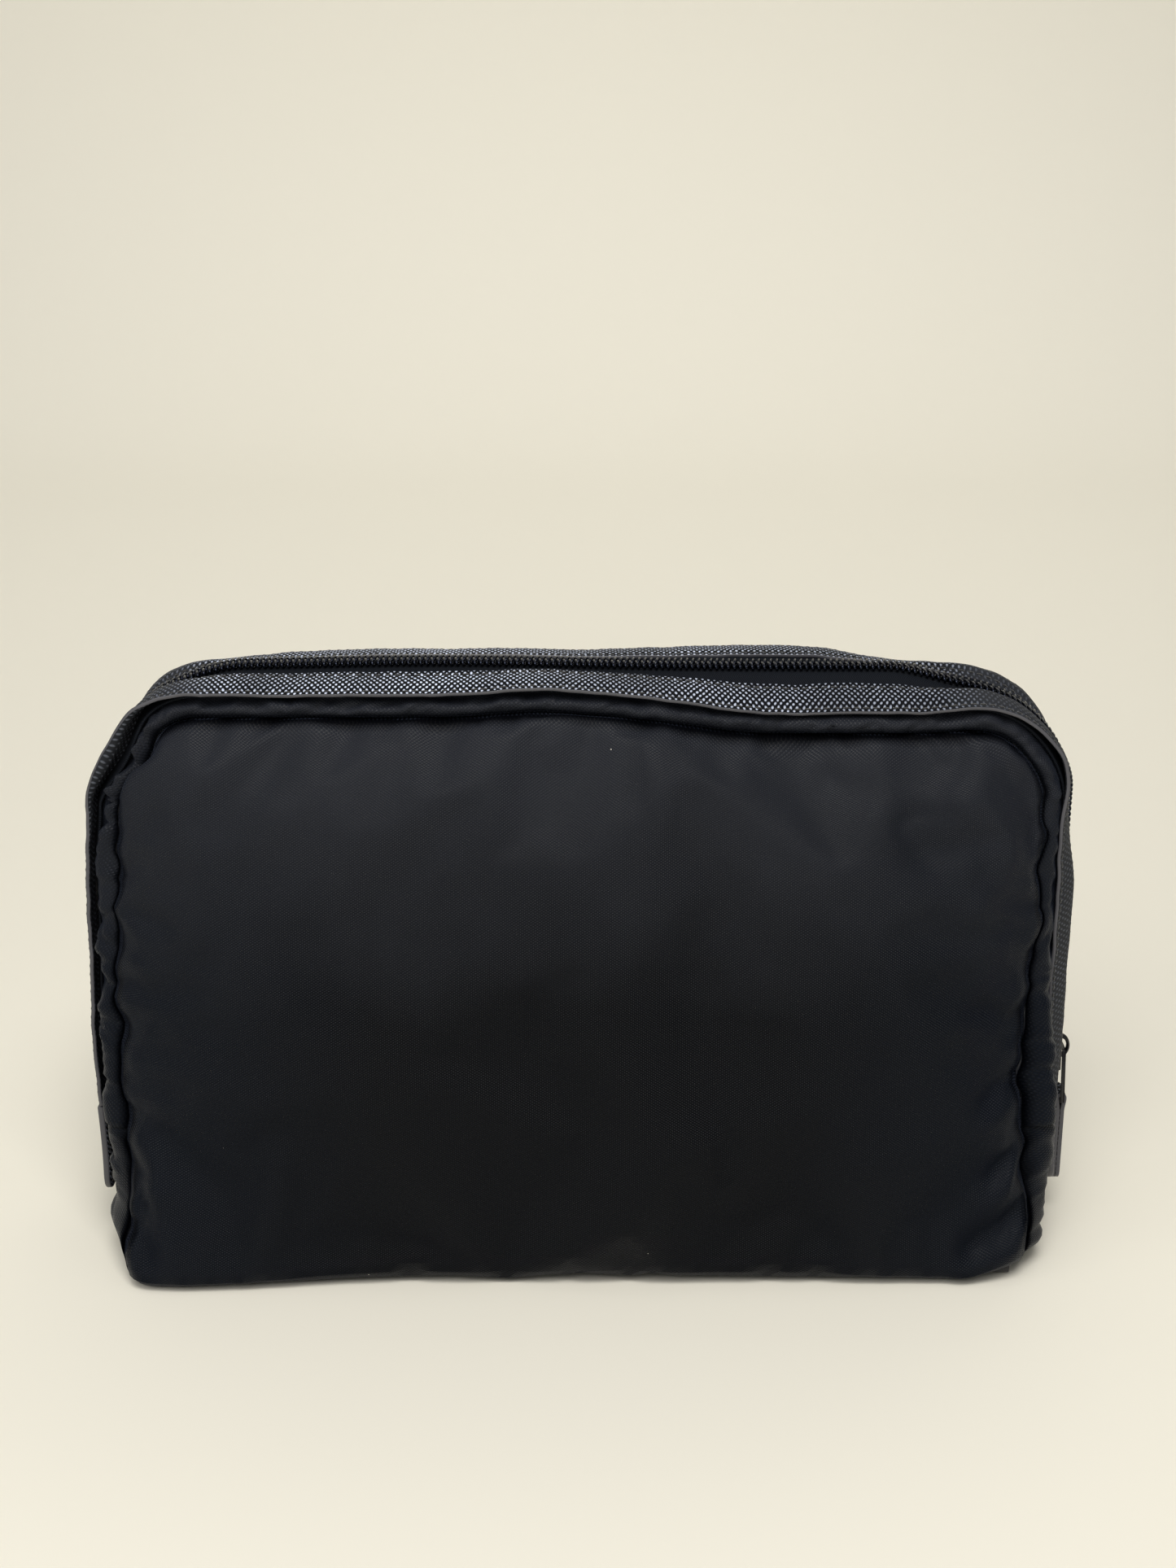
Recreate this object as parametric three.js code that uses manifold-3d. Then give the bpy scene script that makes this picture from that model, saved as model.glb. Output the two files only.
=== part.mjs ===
// A zipped makeup bag of padded nylon: two puffed panels, a sewn gusset, leather trims along a coil zip
// that runs over the top and down both ends, leather tabs at the zip's ends, and a slider with a hung pull.
// Millimetres, +Z up, front towards -Y. The origin is the middle of the flat base, where the bag stands.
import * as THREE from "three";
import Module from "manifold-3d";
import { mergeVertices } from "three/addons/utils/BufferGeometryUtils.js";

// ---- driving dimensions ----
const GAP = 0.3; // clearance between pieces that are sewn or glued together
const PLY_GAP = 0.45; // clearance between the curved plies of a panel
const BASE_HALF_DEPTH = 37; // the bag's half depth at its base
const TOP_HALF_DEPTH = 17.5; // half depth between the seams under the zip
const SEAM = { halfWidth: 115, top: 146, radius: 21, bottom: 1.1 }; // the panels' sewn edge
const BAND = { halfWidth: 122.8, top: 154.1, radius: 30, bottom: 48 }; // the zip's middle line
const ZIP_END = { low: 40.3, high: 44.4 }; // past the stops both tapes are sewn together
const PUFF = 9; // how far a padded panel swells out of the plane of its seam

const NYLON = 0.8; // shell fabric with its interfacing
const FOAM = 2.0;
const LINING = 0.6;
const BOARD = 1.8; // stiffener over the base
const TAPE = 0.6;
const LEATHER = 1.0;
const TAB = 1.7; // a tab is two plies of leather

const TAPE_IN = 1.25; // from the zip's middle line to the tape's beaded edge
const TAPE_FLAT = 5.5; // where the tape starts to slope away under the trim
const TAPE_OUT = 14;
const TRIM_IN = 5.8;
const TRIM_OUT = 16;
const TRIM_RISE = 0.5; // height of the trim's underside above the tape's middle, at its inner edge
const TRIM_DROP = 4.7; // how far the trim falls across its width
const TAPE_DROP = 3.9;
const COIL = { inner: 1.25, outer: 3.1, low: 0.5, high: 2.4 };
const COIL_CLEAR = 2; // from the slider's end to the coils' start
const GUSSET_IN = 14.4; // where the gusset meets the tape, under the trim
const GUSSET_DROP = 4.6;
const WELT = 0.8; // the roll of the gusset beside the seam
const SEAM_OUT = GAP + NYLON; // the gusset's outer face stands this far outside the panel's edge
const SIDE_BULGE = 4.8; // how far a side swells past its seams

const STOP_HEIGHT = 3;
const TAB_TOP = 39.7; // the tabs hang from here
const TAB_END = 16.5;
const TAB_HALF_WIDTH = 15.5;
const TAB_CORNER = 5;
const TAB_FACE = 1.2; // a tab's outer face, outside the zip's middle line

const SLIDER_Z = 50; // middle of the slider when the zip is closed
const SLIDER = { length: 10.5, frontHalf: 4.7, rearHalf: 4.0 };
const PLATE = 1.1;
const OUTER_PLATE = 3.0; // underside of the slider's outer plate, outside the zip's middle line
const INNER_PLATE = 0.9; // outer side of the slider's inner plate, inside that line
const FLANGE = 0.6; // a lip that keeps the coil in the slider
const FLANGE_DEPTH = 1.8;
const SLIDER_STEP = 0.4; // the inner plate is smaller all round, and the lips and the post end short
const POST = { half: 0.9, length: 2.8 }; // the post that joins the plates and parts the chain
const CROWN = { half: 1.1, length: 7, height: 2.6, wall: 1.0 };
const PIVOT = { out: 5.0, z: 49.2 }; // the pull's pivot, outside the zip's middle line
const LINK = { top: 2.7, bottom: 5.2, drop: 13.8, bar: 1.1, above: 0.55, arm: 1.1, thick: 1.1 };
const TAG = { half: 3.3, length: 25, ply: 1.1, eye: 0.95, rim: 1.1 };
const TAG_SHOULDER = 1; // the tag's straight sides reach this far above its eye

// Mesh steps: along the side, round the corner and along the top of the zip, and across and up the sheets.
const STEPS = { side: 5, corner: 6, top: 6 };
const PANEL_STEPS = { across: 18, up: 16 };
const SIDE_STEPS = { across: 10, up: 4 };
const GUSSET_ROWS = 3;

const wasm = await Module();
wasm.setup();

// ---- looks ----
const fabric = (color, roughness) => new THREE.MeshStandardMaterial({ color, roughness, metalness: 0 });
const looks = {
  nylon: fabric(0x14151b, 0.55),
  lining: fabric(0x1b1c22, 0.6),
  foam: fabric(0x3a3a3c, 0.9),
  board: fabric(0x2a2a2c, 0.7),
  leather: fabric(0x2b2a2e, 0.5),
  tape: fabric(0x10131a, 0.8),
  coil: fabric(0x0c0d10, 0.35),
  metal: new THREE.MeshStandardMaterial({ color: 0x15161a, roughness: 0.35, metalness: 0.8 }),
};

// ---- shared shapes ----

// A flat outline given its thickness, its curves cut into smooth steps.
function plateOf(outline, depth, smooth) {
  return new THREE.ExtrudeGeometry(outline, { depth, bevelEnabled: false, curveSegments: smooth });
}

// A named piece with its finish.
function piece(name, geometry, material) {
  const mesh = new THREE.Mesh(geometry, material);
  mesh.name = name;
  return mesh;
}

// A closed sheet: a box cut into across x along cells, whose points go where place(u, v, w) says.
// u and v run over the sheet and w from its inner face, 0, to its outer face, 1.
function sheet(across, along, place) {
  const geometry = new THREE.BoxGeometry(1, 1, 1, across, along, 1);
  const at = geometry.getAttribute("position");
  const corner = new THREE.Vector3();
  for (let i = 0; i < at.count; i++) {
    corner.fromBufferAttribute(at, i).addScalar(0.5);
    const p = place(corner.x, corner.y, corner.z);
    at.setXYZ(i, p.x, p.y, p.z);
  }
  geometry.computeVertexNormals();
  return geometry;
}

// The steps of an arch: up the left side, round the corner, over the top and down the right side.
const ARCH_STEPS = 2 * STEPS.side + 2 * STEPS.corner + STEPS.top;

// The point and outward normal of an arch outline at u, 0 at its left foot and 1 at its right foot.
function arch({ halfWidth, top, radius, bottom }, u) {
  const i = u * ARCH_STEPS;
  const right = i > ARCH_STEPS / 2;
  const k = right ? ARCH_STEPS - i : i;
  const sign = right ? 1 : -1;
  const shoulder = top - radius;
  if (k <= STEPS.side) {
    const z = THREE.MathUtils.lerp(bottom, shoulder, k / STEPS.side);
    return { x: sign * halfWidth, z, nx: sign, nz: 0 };
  }
  if (k <= STEPS.side + STEPS.corner) {
    const angle = ((k - STEPS.side) / STEPS.corner) * (Math.PI / 2);
    const nx = sign * Math.cos(angle);
    const nz = Math.sin(angle);
    return { x: sign * (halfWidth - radius) + radius * nx, z: shoulder + radius * nz, nx, nz };
  }
  const share = (k - STEPS.side - STEPS.corner) / (STEPS.top / 2);
  return { x: sign * (halfWidth - radius) * (1 - share), z: top, nx: 0, nz: 1 };
}

// Half the depth between the two seams at height z.
function seamDepth(z) {
  return THREE.MathUtils.lerp(BASE_HALF_DEPTH, TOP_HALF_DEPTH, z / SEAM.top);
}

// A strip that follows the zip. profile is its underside, as [distance from the middle line, rise] pairs
// from its outer edge inwards, and thick its thickness.
function strip(profile, thick, outline = BAND) {
  const rows = profile.length - 1;
  return sheet(ARCH_STEPS, rows, (u, v, w) => {
    const p = arch(outline, u);
    const [y, rise] = profile[Math.round(v * rows)];
    const n = rise + w * thick;
    return new THREE.Vector3(p.x + p.nx * n, -y, p.z + p.nz * n);
  });
}

// ---- panels: shell, foam and lining, each puffed out between its sewn edges ----

// A panel's half width at height z, inset inside its seam.
function panelHalf(z, inset) {
  const rise = Math.max(0, z - (SEAM.top - SEAM.radius));
  return SEAM.halfWidth - SEAM.radius + Math.sqrt(Math.max(0, (SEAM.radius - inset) ** 2 - rise ** 2));
}

// How far a panel's face stands in front of the bag's middle plane.
function puffed(x, z) {
  const across = Math.abs(x) / panelHalf(z, 0);
  const up = (z - SEAM.bottom) / (SEAM.top - SEAM.bottom);
  return seamDepth(z) + PUFF * (1 - across ** 3) * (1 - (2 * up - 1) ** 2);
}

// One layer of a panel: its outer face lies depth behind the shell's, and its edge inset inside the seam.
function layer(depth, thick, inset, foot) {
  return sheet(PANEL_STEPS.across, PANEL_STEPS.up, (u, v, w) => {
    // Rows crowd towards the top, where the outline turns.
    const z = THREE.MathUtils.lerp(foot, SEAM.top - inset, Math.sin((v * Math.PI) / 2));
    const x = (2 * u - 1) * panelHalf(z, inset);
    return new THREE.Vector3(x, -puffed(x, z) + depth + (1 - w) * thick, z);
  });
}

const SEAM_ALLOWANCE = 3; // the foam and the lining end this far inside the seam
const FOAM_AT = NYLON + PLY_GAP;
const LINING_AT = FOAM_AT + FOAM + PLY_GAP;
const BASE_STACK = NYLON + GAP + BOARD + GAP + LINING + GAP;
const FOOT_CLEAR = 1; // from the base lining up to the panels' foam and lining
const BOARD_INSET = 4; // the base's board and lining end this far inside its edge

// ---- gussets: the strips from the zip to the seam, and the sides below the zip ----

// The strip between the zip and a panel's seam, inwards of the shell by depth.
function gusset(depth, thick) {
  return sheet(ARCH_STEPS, GUSSET_ROWS, (u, v, w) => {
    const p = arch(BAND, u);
    const s = arch({ ...SEAM, bottom: BAND.bottom }, u);
    const inner = new THREE.Vector3(p.x - p.nx * GUSSET_DROP, -GUSSET_IN, p.z - p.nz * GUSSET_DROP);
    const edge = new THREE.Vector3(s.x + s.nx * SEAM_OUT, depth - seamDepth(s.z), s.z + s.nz * SEAM_OUT);
    const chord = inner.clone().sub(edge);
    const along = new THREE.Vector3(p.nz, 0, -p.nx); // the way the zip runs
    const out = along.clone().cross(chord).normalize();
    const swell = WELT * Math.sin(Math.PI * v);
    return edge.addScaledVector(chord, v).addScaledVector(out, swell - depth - (1 - w) * thick);
  });
}

// A side of the bag below the zip's end, from the front seam to the back one.
function side(depth, thick, foot) {
  return sheet(SIDE_STEPS.across, SIDE_STEPS.up, (u, v, w) => {
    const z = THREE.MathUtils.lerp(foot, ZIP_END.low - 2 * GAP, v);
    const across = 2 * u - 1;
    const x = SEAM.halfWidth + SEAM_OUT + SIDE_BULGE * (1 - across ** 2) - depth - (1 - w) * thick;
    return new THREE.Vector3(x, across * (seamDepth(z) - depth - GAP), z);
  });
}

// The tape's underside, from its outer edge to where it lies flat.
const TAPE_SLOPE = [[TAPE_OUT, -TAPE / 2 - TAPE_DROP], [TAPE_FLAT, -TAPE / 2]];

// ---- half of the bag: front or back ----
function half(end) {
  const group = new THREE.Group();
  const add = (name, geometry, material) => group.add(piece(`${end}_${name}`, geometry, material));
  add("panel", layer(0, NYLON, 0, SEAM.bottom), looks.nylon);
  add("foam", layer(FOAM_AT, FOAM, SEAM_ALLOWANCE, BASE_STACK + FOOT_CLEAR), looks.foam);
  add("lining", layer(LINING_AT, LINING, SEAM_ALLOWANCE, BASE_STACK + FOOT_CLEAR), looks.lining);
  add("gusset", gusset(0, NYLON), looks.nylon);
  add("gusset_lining", gusset(NYLON + GAP, LINING), looks.lining);
  add("tape", strip([...TAPE_SLOPE, [TAPE_IN, -TAPE / 2]], TAPE), looks.tape);
  add("trim", strip([[TRIM_OUT, TRIM_RISE - TRIM_DROP], [TRIM_IN, TRIM_RISE]], LEATHER), looks.leather);
  add("coil", coil(), looks.coil);
  return group;
}

// One coil of the zip, as a smooth band. It starts clear of the slider, whose lips would hold it back.
function coil() {
  const start = SLIDER_Z + SLIDER.length / 2 + COIL_CLEAR;
  const section = [[COIL.outer, COIL.low], [COIL.inner, COIL.low]];
  return strip(section, COIL.high - COIL.low, { ...BAND, bottom: start });
}

// ---- base ----

// A flat plate of the base, its underside at low, its edge inset from the bag's and its ends bowed.
function basePlate(low, thick, inset) {
  const end = SEAM.halfWidth - inset;
  const edge = BASE_HALF_DEPTH - inset;
  const outline = new THREE.Shape();
  outline.moveTo(-end, -edge);
  outline.lineTo(end, -edge);
  outline.quadraticCurveTo(end + 2 * SIDE_BULGE, 0, end, edge);
  outline.lineTo(-end, edge);
  outline.quadraticCurveTo(-end - 2 * SIDE_BULGE, 0, -end, -edge);
  return plateOf(outline, thick, 8).translate(0, 0, low);
}

// ---- ends of the zip ----

// A tab: a leather tongue with round corners that hangs at the zip's end. Built on the right side.
function tab() {
  const long = TAB_TOP - TAB_END;
  const outline = new THREE.Shape();
  outline.moveTo(-TAB_HALF_WIDTH, 0);
  outline.lineTo(-TAB_HALF_WIDTH, TAB_CORNER - long);
  outline.absarc(TAB_CORNER - TAB_HALF_WIDTH, TAB_CORNER - long, TAB_CORNER, Math.PI, 1.5 * Math.PI);
  outline.absarc(TAB_HALF_WIDTH - TAB_CORNER, TAB_CORNER - long, TAB_CORNER, 1.5 * Math.PI, 2 * Math.PI);
  outline.lineTo(TAB_HALF_WIDTH, 0);
  return standOnSide(plateOf(outline, TAB, 5)).translate(BAND.halfWidth + TAB_FACE - TAB, 0, TAB_TOP);
}

// Turns a plate drawn in x and y, extruded along z, so that it lies on the bag's right side:
// its x runs along the bag's Y, its y up, and its thickness out along +X.
function standOnSide(geometry) {
  return geometry.rotateX(Math.PI / 2).rotateZ(Math.PI / 2);
}

// Both tapes' ends at one side of the bag, sewn edge to edge under the stops.
function zipEnd() {
  const profile = [...TAPE_SLOPE, ...TAPE_SLOPE.map(([y, rise]) => [-y, rise]).reverse()];
  const rows = profile.length - 1;
  return sheet(1, rows, (u, v, w) => {
    const [y, rise] = profile[Math.round(v * rows)];
    const z = THREE.MathUtils.lerp(ZIP_END.high, ZIP_END.low, u);
    return new THREE.Vector3(BAND.halfWidth + rise + w * TAPE, -y, z);
  });
}

// A stop: a clip pressed on the tape's bead, just past the chain's end.
function stop(halfWidth, y, x) {
  const clip = new THREE.BoxGeometry(COIL.high - COIL.low, 2 * halfWidth, STOP_HEIGHT);
  return clip.translate(x, y, (ZIP_END.low + ZIP_END.high) / 2);
}

// ---- slider and pull ----

// A slider plate, wide at the nose that faces the closed end and narrow behind.
function sliderPlate(shrink, thick) {
  const nose = SLIDER.frontHalf - shrink;
  const tail = SLIDER.rearHalf - shrink;
  const reach = SLIDER.length / 2 - shrink;
  const outline = new THREE.Shape();
  outline.moveTo(-tail, reach);
  outline.quadraticCurveTo(-tail, 0, -nose, -reach * 0.6);
  outline.quadraticCurveTo(-nose, -reach, -nose * 0.6, -reach);
  outline.lineTo(nose * 0.6, -reach);
  outline.quadraticCurveTo(nose, -reach, nose, -reach * 0.6);
  outline.quadraticCurveTo(tail, 0, tail, reach);
  return standOnSide(plateOf(outline, thick, 4));
}

// The slider's one casting: outer plate with its two lips, inner plate, and the post between them.
function sliderBody() {
  const outer = sliderPlate(0, PLATE).translate(OUTER_PLATE, 0, 0);
  const inner = sliderPlate(SLIDER_STEP, PLATE).translate(-INNER_PLATE - PLATE, 0, 0);
  const tall = OUTER_PLATE + INNER_PLATE + PLATE;
  const post = new THREE.BoxGeometry(tall, 2 * POST.half, POST.length);
  post.translate(OUTER_PLATE + PLATE / 2 - tall / 2, 0, SLIDER_STEP + POST.length / 2 - SLIDER.length / 2);
  const parts = [outer, inner, post];
  const deep = FLANGE_DEPTH + PLATE / 2;
  for (const sign of [-1, 1]) {
    const lip = new THREE.BoxGeometry(deep, FLANGE, SLIDER.length - 2 * SLIDER_STEP);
    const y = sign * (SLIDER.rearHalf - FLANGE / 2);
    parts.push(lip.translate(OUTER_PLATE + PLATE / 2 - deep / 2, y, 0));
  }
  return join(parts).translate(BAND.halfWidth, 0, SLIDER_Z);
}

// The crown: the arch on the slider that the pull hangs from.
function crown() {
  const reach = CROWN.length / 2;
  const arc = new THREE.Shape();
  arc.moveTo(-reach, 0);
  arc.quadraticCurveTo(-reach, CROWN.height, 0, CROWN.height);
  arc.quadraticCurveTo(reach, CROWN.height, reach, 0);
  arc.lineTo(reach - CROWN.wall, 0);
  arc.quadraticCurveTo(reach - CROWN.wall, CROWN.height - CROWN.wall, 0, CROWN.height - CROWN.wall);
  arc.quadraticCurveTo(CROWN.wall - reach, CROWN.height - CROWN.wall, CROWN.wall - reach, 0);
  arc.closePath();
  const bridge = plateOf(arc, 2 * CROWN.half, 8);
  // Drawn along z and out along x: turned so that the arch spans the slider's length.
  bridge.translate(0, 0, -CROWN.half).rotateY(-Math.PI / 2).rotateZ(-Math.PI / 2);
  return bridge.translate(BAND.halfWidth + OUTER_PLATE + PLATE + GAP, 0, SLIDER_Z);
}

// The link: a flat metal frame, narrow at the crown and wide at the leather tag. Its pivot is at the origin.
function link() {
  const frame = new THREE.Shape();
  frame.moveTo(-LINK.top, LINK.above);
  frame.lineTo(-LINK.bottom, -LINK.drop);
  frame.lineTo(LINK.bottom, -LINK.drop);
  frame.lineTo(LINK.top, LINK.above);
  frame.closePath();
  const hole = new THREE.Path();
  hole.moveTo(-LINK.top + LINK.arm, LINK.above - LINK.bar);
  hole.lineTo(LINK.top - LINK.arm, LINK.above - LINK.bar);
  hole.lineTo(LINK.bottom - LINK.arm, LINK.bar - LINK.drop);
  hole.lineTo(LINK.arm - LINK.bottom, LINK.bar - LINK.drop);
  hole.closePath();
  frame.holes.push(hole);
  return standOnSide(plateOf(frame, LINK.thick, 1).translate(0, 0, -LINK.thick / 2));
}

// The tag: a leather strap folded over the link's lower bar and stitched to itself, round at its end.
// Its pivot is at the origin.
function tag() {
  const outer = TAG.eye + TAG.rim;
  const profile = new THREE.Shape();
  profile.moveTo(TAG.ply, -TAG.length);
  profile.lineTo(TAG.ply, -outer);
  profile.absarc(0, 0, outer, -Math.PI / 3, (4 * Math.PI) / 3);
  profile.lineTo(-TAG.ply, -outer);
  profile.lineTo(-TAG.ply, -TAG.length);
  profile.closePath();
  const eye = new THREE.Path();
  eye.absarc(0, 0, TAG.eye, 0, 2 * Math.PI, true);
  profile.holes.push(eye);
  const strap = plateOf(profile, 2 * TAG.half, 6);
  strap.translate(0, 0, -TAG.half).rotateX(Math.PI / 2);
  const tongue = new THREE.Shape();
  tongue.moveTo(-TAG.half, outer + TAG_SHOULDER);
  tongue.lineTo(-TAG.half, TAG.half - TAG.length);
  tongue.absarc(0, TAG.half - TAG.length, TAG.half, Math.PI, 2 * Math.PI);
  tongue.lineTo(TAG.half, outer + TAG_SHOULDER);
  tongue.closePath();
  const wide = 3 * outer;
  const cutter = plateOf(tongue, 2 * wide, 6);
  return intersect(strap, standOnSide(cutter.translate(0, 0, -wide)));
}

// ---- joining and cutting ----
function solidOf(geometry) {
  const bare = geometry.clone();
  bare.deleteAttribute("normal");
  bare.deleteAttribute("uv");
  const merged = mergeVertices(bare, 1e-4);
  const vertProperties = merged.getAttribute("position").array;
  const triVerts = new Uint32Array(merged.index.array);
  return new wasm.Manifold(new wasm.Mesh({ numProp: 3, vertProperties, triVerts }));
}

function geometryOf(solid) {
  const mesh = solid.getMesh();
  const geometry = new THREE.BufferGeometry();
  geometry.setAttribute("position", new THREE.BufferAttribute(mesh.vertProperties, 3));
  geometry.setIndex(new THREE.BufferAttribute(mesh.triVerts, 1));
  geometry.computeVertexNormals();
  return geometry;
}

function join(geometries) {
  return geometryOf(geometries.map(solidOf).reduce((all, next) => all.add(next)));
}

function intersect(a, b) {
  return geometryOf(solidOf(a).intersect(solidOf(b)));
}

// ---- the bag ----
const bag = new THREE.Group();

const front = half("front");
const back = half("back");
back.scale.y = -1; // the back is the front's mirror image
bag.add(front, back);

bag.add(piece("base_panel", basePlate(0, NYLON, 2 * GAP), looks.nylon));
bag.add(piece("base_board", basePlate(NYLON + GAP, BOARD, BOARD_INSET), looks.board));
bag.add(piece("base_lining", basePlate(NYLON + GAP + BOARD + GAP, LINING, BOARD_INSET), looks.lining));

// Pieces of the right side, then the same ones turned round for the left.
const sides = { right: new THREE.Group(), left: new THREE.Group() };
sides.left.rotation.z = Math.PI;
for (const [name, group] of Object.entries(sides)) {
  group.add(piece(`${name}_gusset`, side(0, NYLON, GAP), looks.nylon));
  group.add(piece(`${name}_gusset_lining`, side(NYLON + GAP, LINING, BASE_STACK), looks.lining));
  group.add(piece(`${name}_zip_end`, zipEnd(), looks.tape));
  group.add(piece(`${name}_end_tab`, tab(), looks.leather));
  bag.add(group);
}

// Stops: one on each tape past the closed end, and one across both at the open end.
const stopX = BAND.halfWidth + (COIL.low + COIL.high) / 2;
const clipHalf = (COIL.outer - COIL.inner) / 2;
const clipY = (COIL.outer + COIL.inner) / 2;
bag.add(piece("front_top_stop", stop(clipHalf, -clipY, stopX), looks.metal));
bag.add(piece("back_top_stop", stop(clipHalf, clipY, stopX), looks.metal));
bag.add(piece("bottom_stop", stop(COIL.outer, 0, -stopX), looks.metal));

const slider = new THREE.Group();
slider.add(piece("slider_body", sliderBody(), looks.metal));
slider.add(piece("slider_crown", crown(), looks.metal));
const pullLink = piece("pull_link", link(), looks.metal);
pullLink.position.set(BAND.halfWidth + PIVOT.out, 0, PIVOT.z);
const pullTag = piece("pull_tag", tag(), looks.leather);
pullTag.position.set(BAND.halfWidth + PIVOT.out, 0, PIVOT.z - LINK.drop + LINK.bar / 2);
slider.add(pullLink, pullTag);
bag.add(slider);

export default bag;
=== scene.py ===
"""A padded nylon makeup bag, closed, standing on its base. Metres, +Z up, front towards -Y."""
import math

import bmesh
import bpy
from mathutils import Matrix, Vector, noise


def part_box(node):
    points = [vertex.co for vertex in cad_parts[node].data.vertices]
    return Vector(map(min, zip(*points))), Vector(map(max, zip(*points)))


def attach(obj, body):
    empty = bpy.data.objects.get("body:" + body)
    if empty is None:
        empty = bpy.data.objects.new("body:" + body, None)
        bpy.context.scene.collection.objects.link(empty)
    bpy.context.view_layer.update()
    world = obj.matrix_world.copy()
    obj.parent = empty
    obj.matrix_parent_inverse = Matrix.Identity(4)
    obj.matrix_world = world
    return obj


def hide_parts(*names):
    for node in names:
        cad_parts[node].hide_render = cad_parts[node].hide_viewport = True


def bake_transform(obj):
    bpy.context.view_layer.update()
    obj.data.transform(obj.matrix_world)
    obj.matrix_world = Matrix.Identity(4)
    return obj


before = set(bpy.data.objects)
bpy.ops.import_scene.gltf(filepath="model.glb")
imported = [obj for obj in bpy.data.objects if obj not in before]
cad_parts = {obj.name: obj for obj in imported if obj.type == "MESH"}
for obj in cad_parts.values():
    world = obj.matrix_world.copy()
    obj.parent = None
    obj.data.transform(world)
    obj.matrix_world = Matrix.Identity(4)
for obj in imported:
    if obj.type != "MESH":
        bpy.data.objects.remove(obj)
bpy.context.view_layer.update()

# ---- camera, floor and light ----
# The bag stands on a wide pale sheet of paper that curves up well behind it. One large soft lamp hangs above
# its front, weaker ones stand before it, to its left and behind it, and one lights the curve of the paper. The
# camera stands in front and looks 20 degrees down.

MM = 0.001
scene = bpy.context.scene


def linear(colour):
    """An sRGB hex colour as linear RGBA."""
    parts = [int(colour[i:i + 2], 16) / 255 for i in (0, 2, 4)]
    return tuple(c / 12.92 if c <= 0.04045 else ((c + 0.055) / 1.055) ** 2.4 for c in parts) + (1.0,)


def node(tree, kind, settings=None, links=None):
    """Adds a node. settings are its own attributes, or its input sockets' values by name or number."""
    made = tree.nodes.new("ShaderNode" + kind)
    for name, value in (settings or {}).items():
        if isinstance(name, str) and hasattr(made, name):
            setattr(made, name, value)
        else:
            made.inputs[name].default_value = value
    for name, source in (links or {}).items():
        tree.links.new(source, made.inputs[name])
    return made


def new_material(name, **sockets):
    """A material with a Principled shader whose sockets hold the given values, with its tree and shader."""
    material = bpy.data.materials.new(name)
    material.use_nodes = True
    tree = material.node_tree
    tree.nodes.clear()
    shader = node(tree, "BsdfPrincipled", {k.replace("_", " "): v for k, v in sockets.items()})
    node(tree, "OutputMaterial", links={"Surface": shader.outputs[0]})
    return material, tree, shader


def new_piece(name, bm, material=None, outward=True):
    """Makes a mesh object from a bmesh, its faces smooth and turned outwards."""
    bmesh.ops.remove_doubles(bm, verts=bm.verts, dist=1e-6)
    if outward:
        bmesh.ops.recalc_face_normals(bm, faces=bm.faces)
    mesh = bpy.data.meshes.new(name)
    bm.to_mesh(mesh)
    bm.free()
    for face in mesh.polygons:
        face.use_smooth = True
    piece = bpy.data.objects.new(name, mesh)
    scene.collection.objects.link(piece)
    if material:
        mesh.materials.append(material)
    return piece


CAMERA_SPOT = Vector((0.002, -0.5638, 0.3289))
CAMERA_PITCH = math.radians(20)
camera = bpy.data.objects.new("camera", bpy.data.cameras.new("camera"))
camera.data.lens = 54.1
camera.location = CAMERA_SPOT
camera.rotation_euler = (math.pi / 2 - CAMERA_PITCH, 0, 0)
scene.collection.objects.link(camera)
scene.camera = camera

PAPER_BEND = 0.9  # how far behind the bag the paper starts to curve up, and the radius of its curve
PAPER_RADIUS = 0.35
paper = new_material("pale matt paper", Base_Color=linear("ECE9DE"), Roughness=0.85)[0]
bm = bmesh.new()
bmesh.ops.create_grid(bm, x_segments=1, y_segments=180, size=4.0)
for v in bm.verts:
    run = v.co.y - PAPER_BEND
    if run > 0:
        angle = min(run / PAPER_RADIUS, math.pi / 2)
        v.co.y = PAPER_BEND + PAPER_RADIUS * math.sin(angle)
        v.co.z = PAPER_RADIUS * (1 - math.cos(angle)) + max(0, run - PAPER_RADIUS * math.pi / 2)
new_piece("backdrop", bm, paper, outward=False)

LIGHTS = {
    "ceiling": {"spot": (-0.15, -1.05, 1.3), "aim": (0, -0.1, 0), "size": 0.9, "watts": 12.6, "spread": 180},
    "front": {"spot": (0.1, -0.62, 1.05), "aim": (0, -0.52, 0), "size": 0.4, "watts": 5.6, "spread": 180},
    "window": {"spot": (-1.2, -0.9, 0.9), "aim": (0, 0, 0.08), "size": 0.9, "watts": 3.5, "spread": 180},
    "behind": {"spot": (0.5, 0.9, 1.3), "aim": (0, 0, 0.1), "size": 0.8, "watts": 1.5, "spread": 180},
    "paper": {"spot": (0, 0.3, 1.5), "aim": (0, 1.1, 0.1), "size": 0.9, "watts": 1.7, "spread": 80},
}
for name, at in LIGHTS.items():
    lamp = bpy.data.lights.new(name, "AREA")
    lamp.size = at["size"]
    lamp.energy = at["watts"]
    lamp.spread = math.radians(at["spread"])
    lamp.color = linear("FFFCF6")[:3]
    light = bpy.data.objects.new(name, lamp)
    light.location = at["spot"]
    light.rotation_euler = (Vector(at["aim"]) - Vector(at["spot"])).to_track_quat("-Z", "Y").to_euler()
    scene.collection.objects.link(light)
scene.view_settings.view_transform = "Standard"
world = bpy.data.worlds.new("room")
world.use_nodes = True
world.node_tree.nodes["Background"].inputs["Color"].default_value = linear("F6F5F2")
world.node_tree.nodes["Background"].inputs["Strength"].default_value = 0.31
scene.world = world

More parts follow.
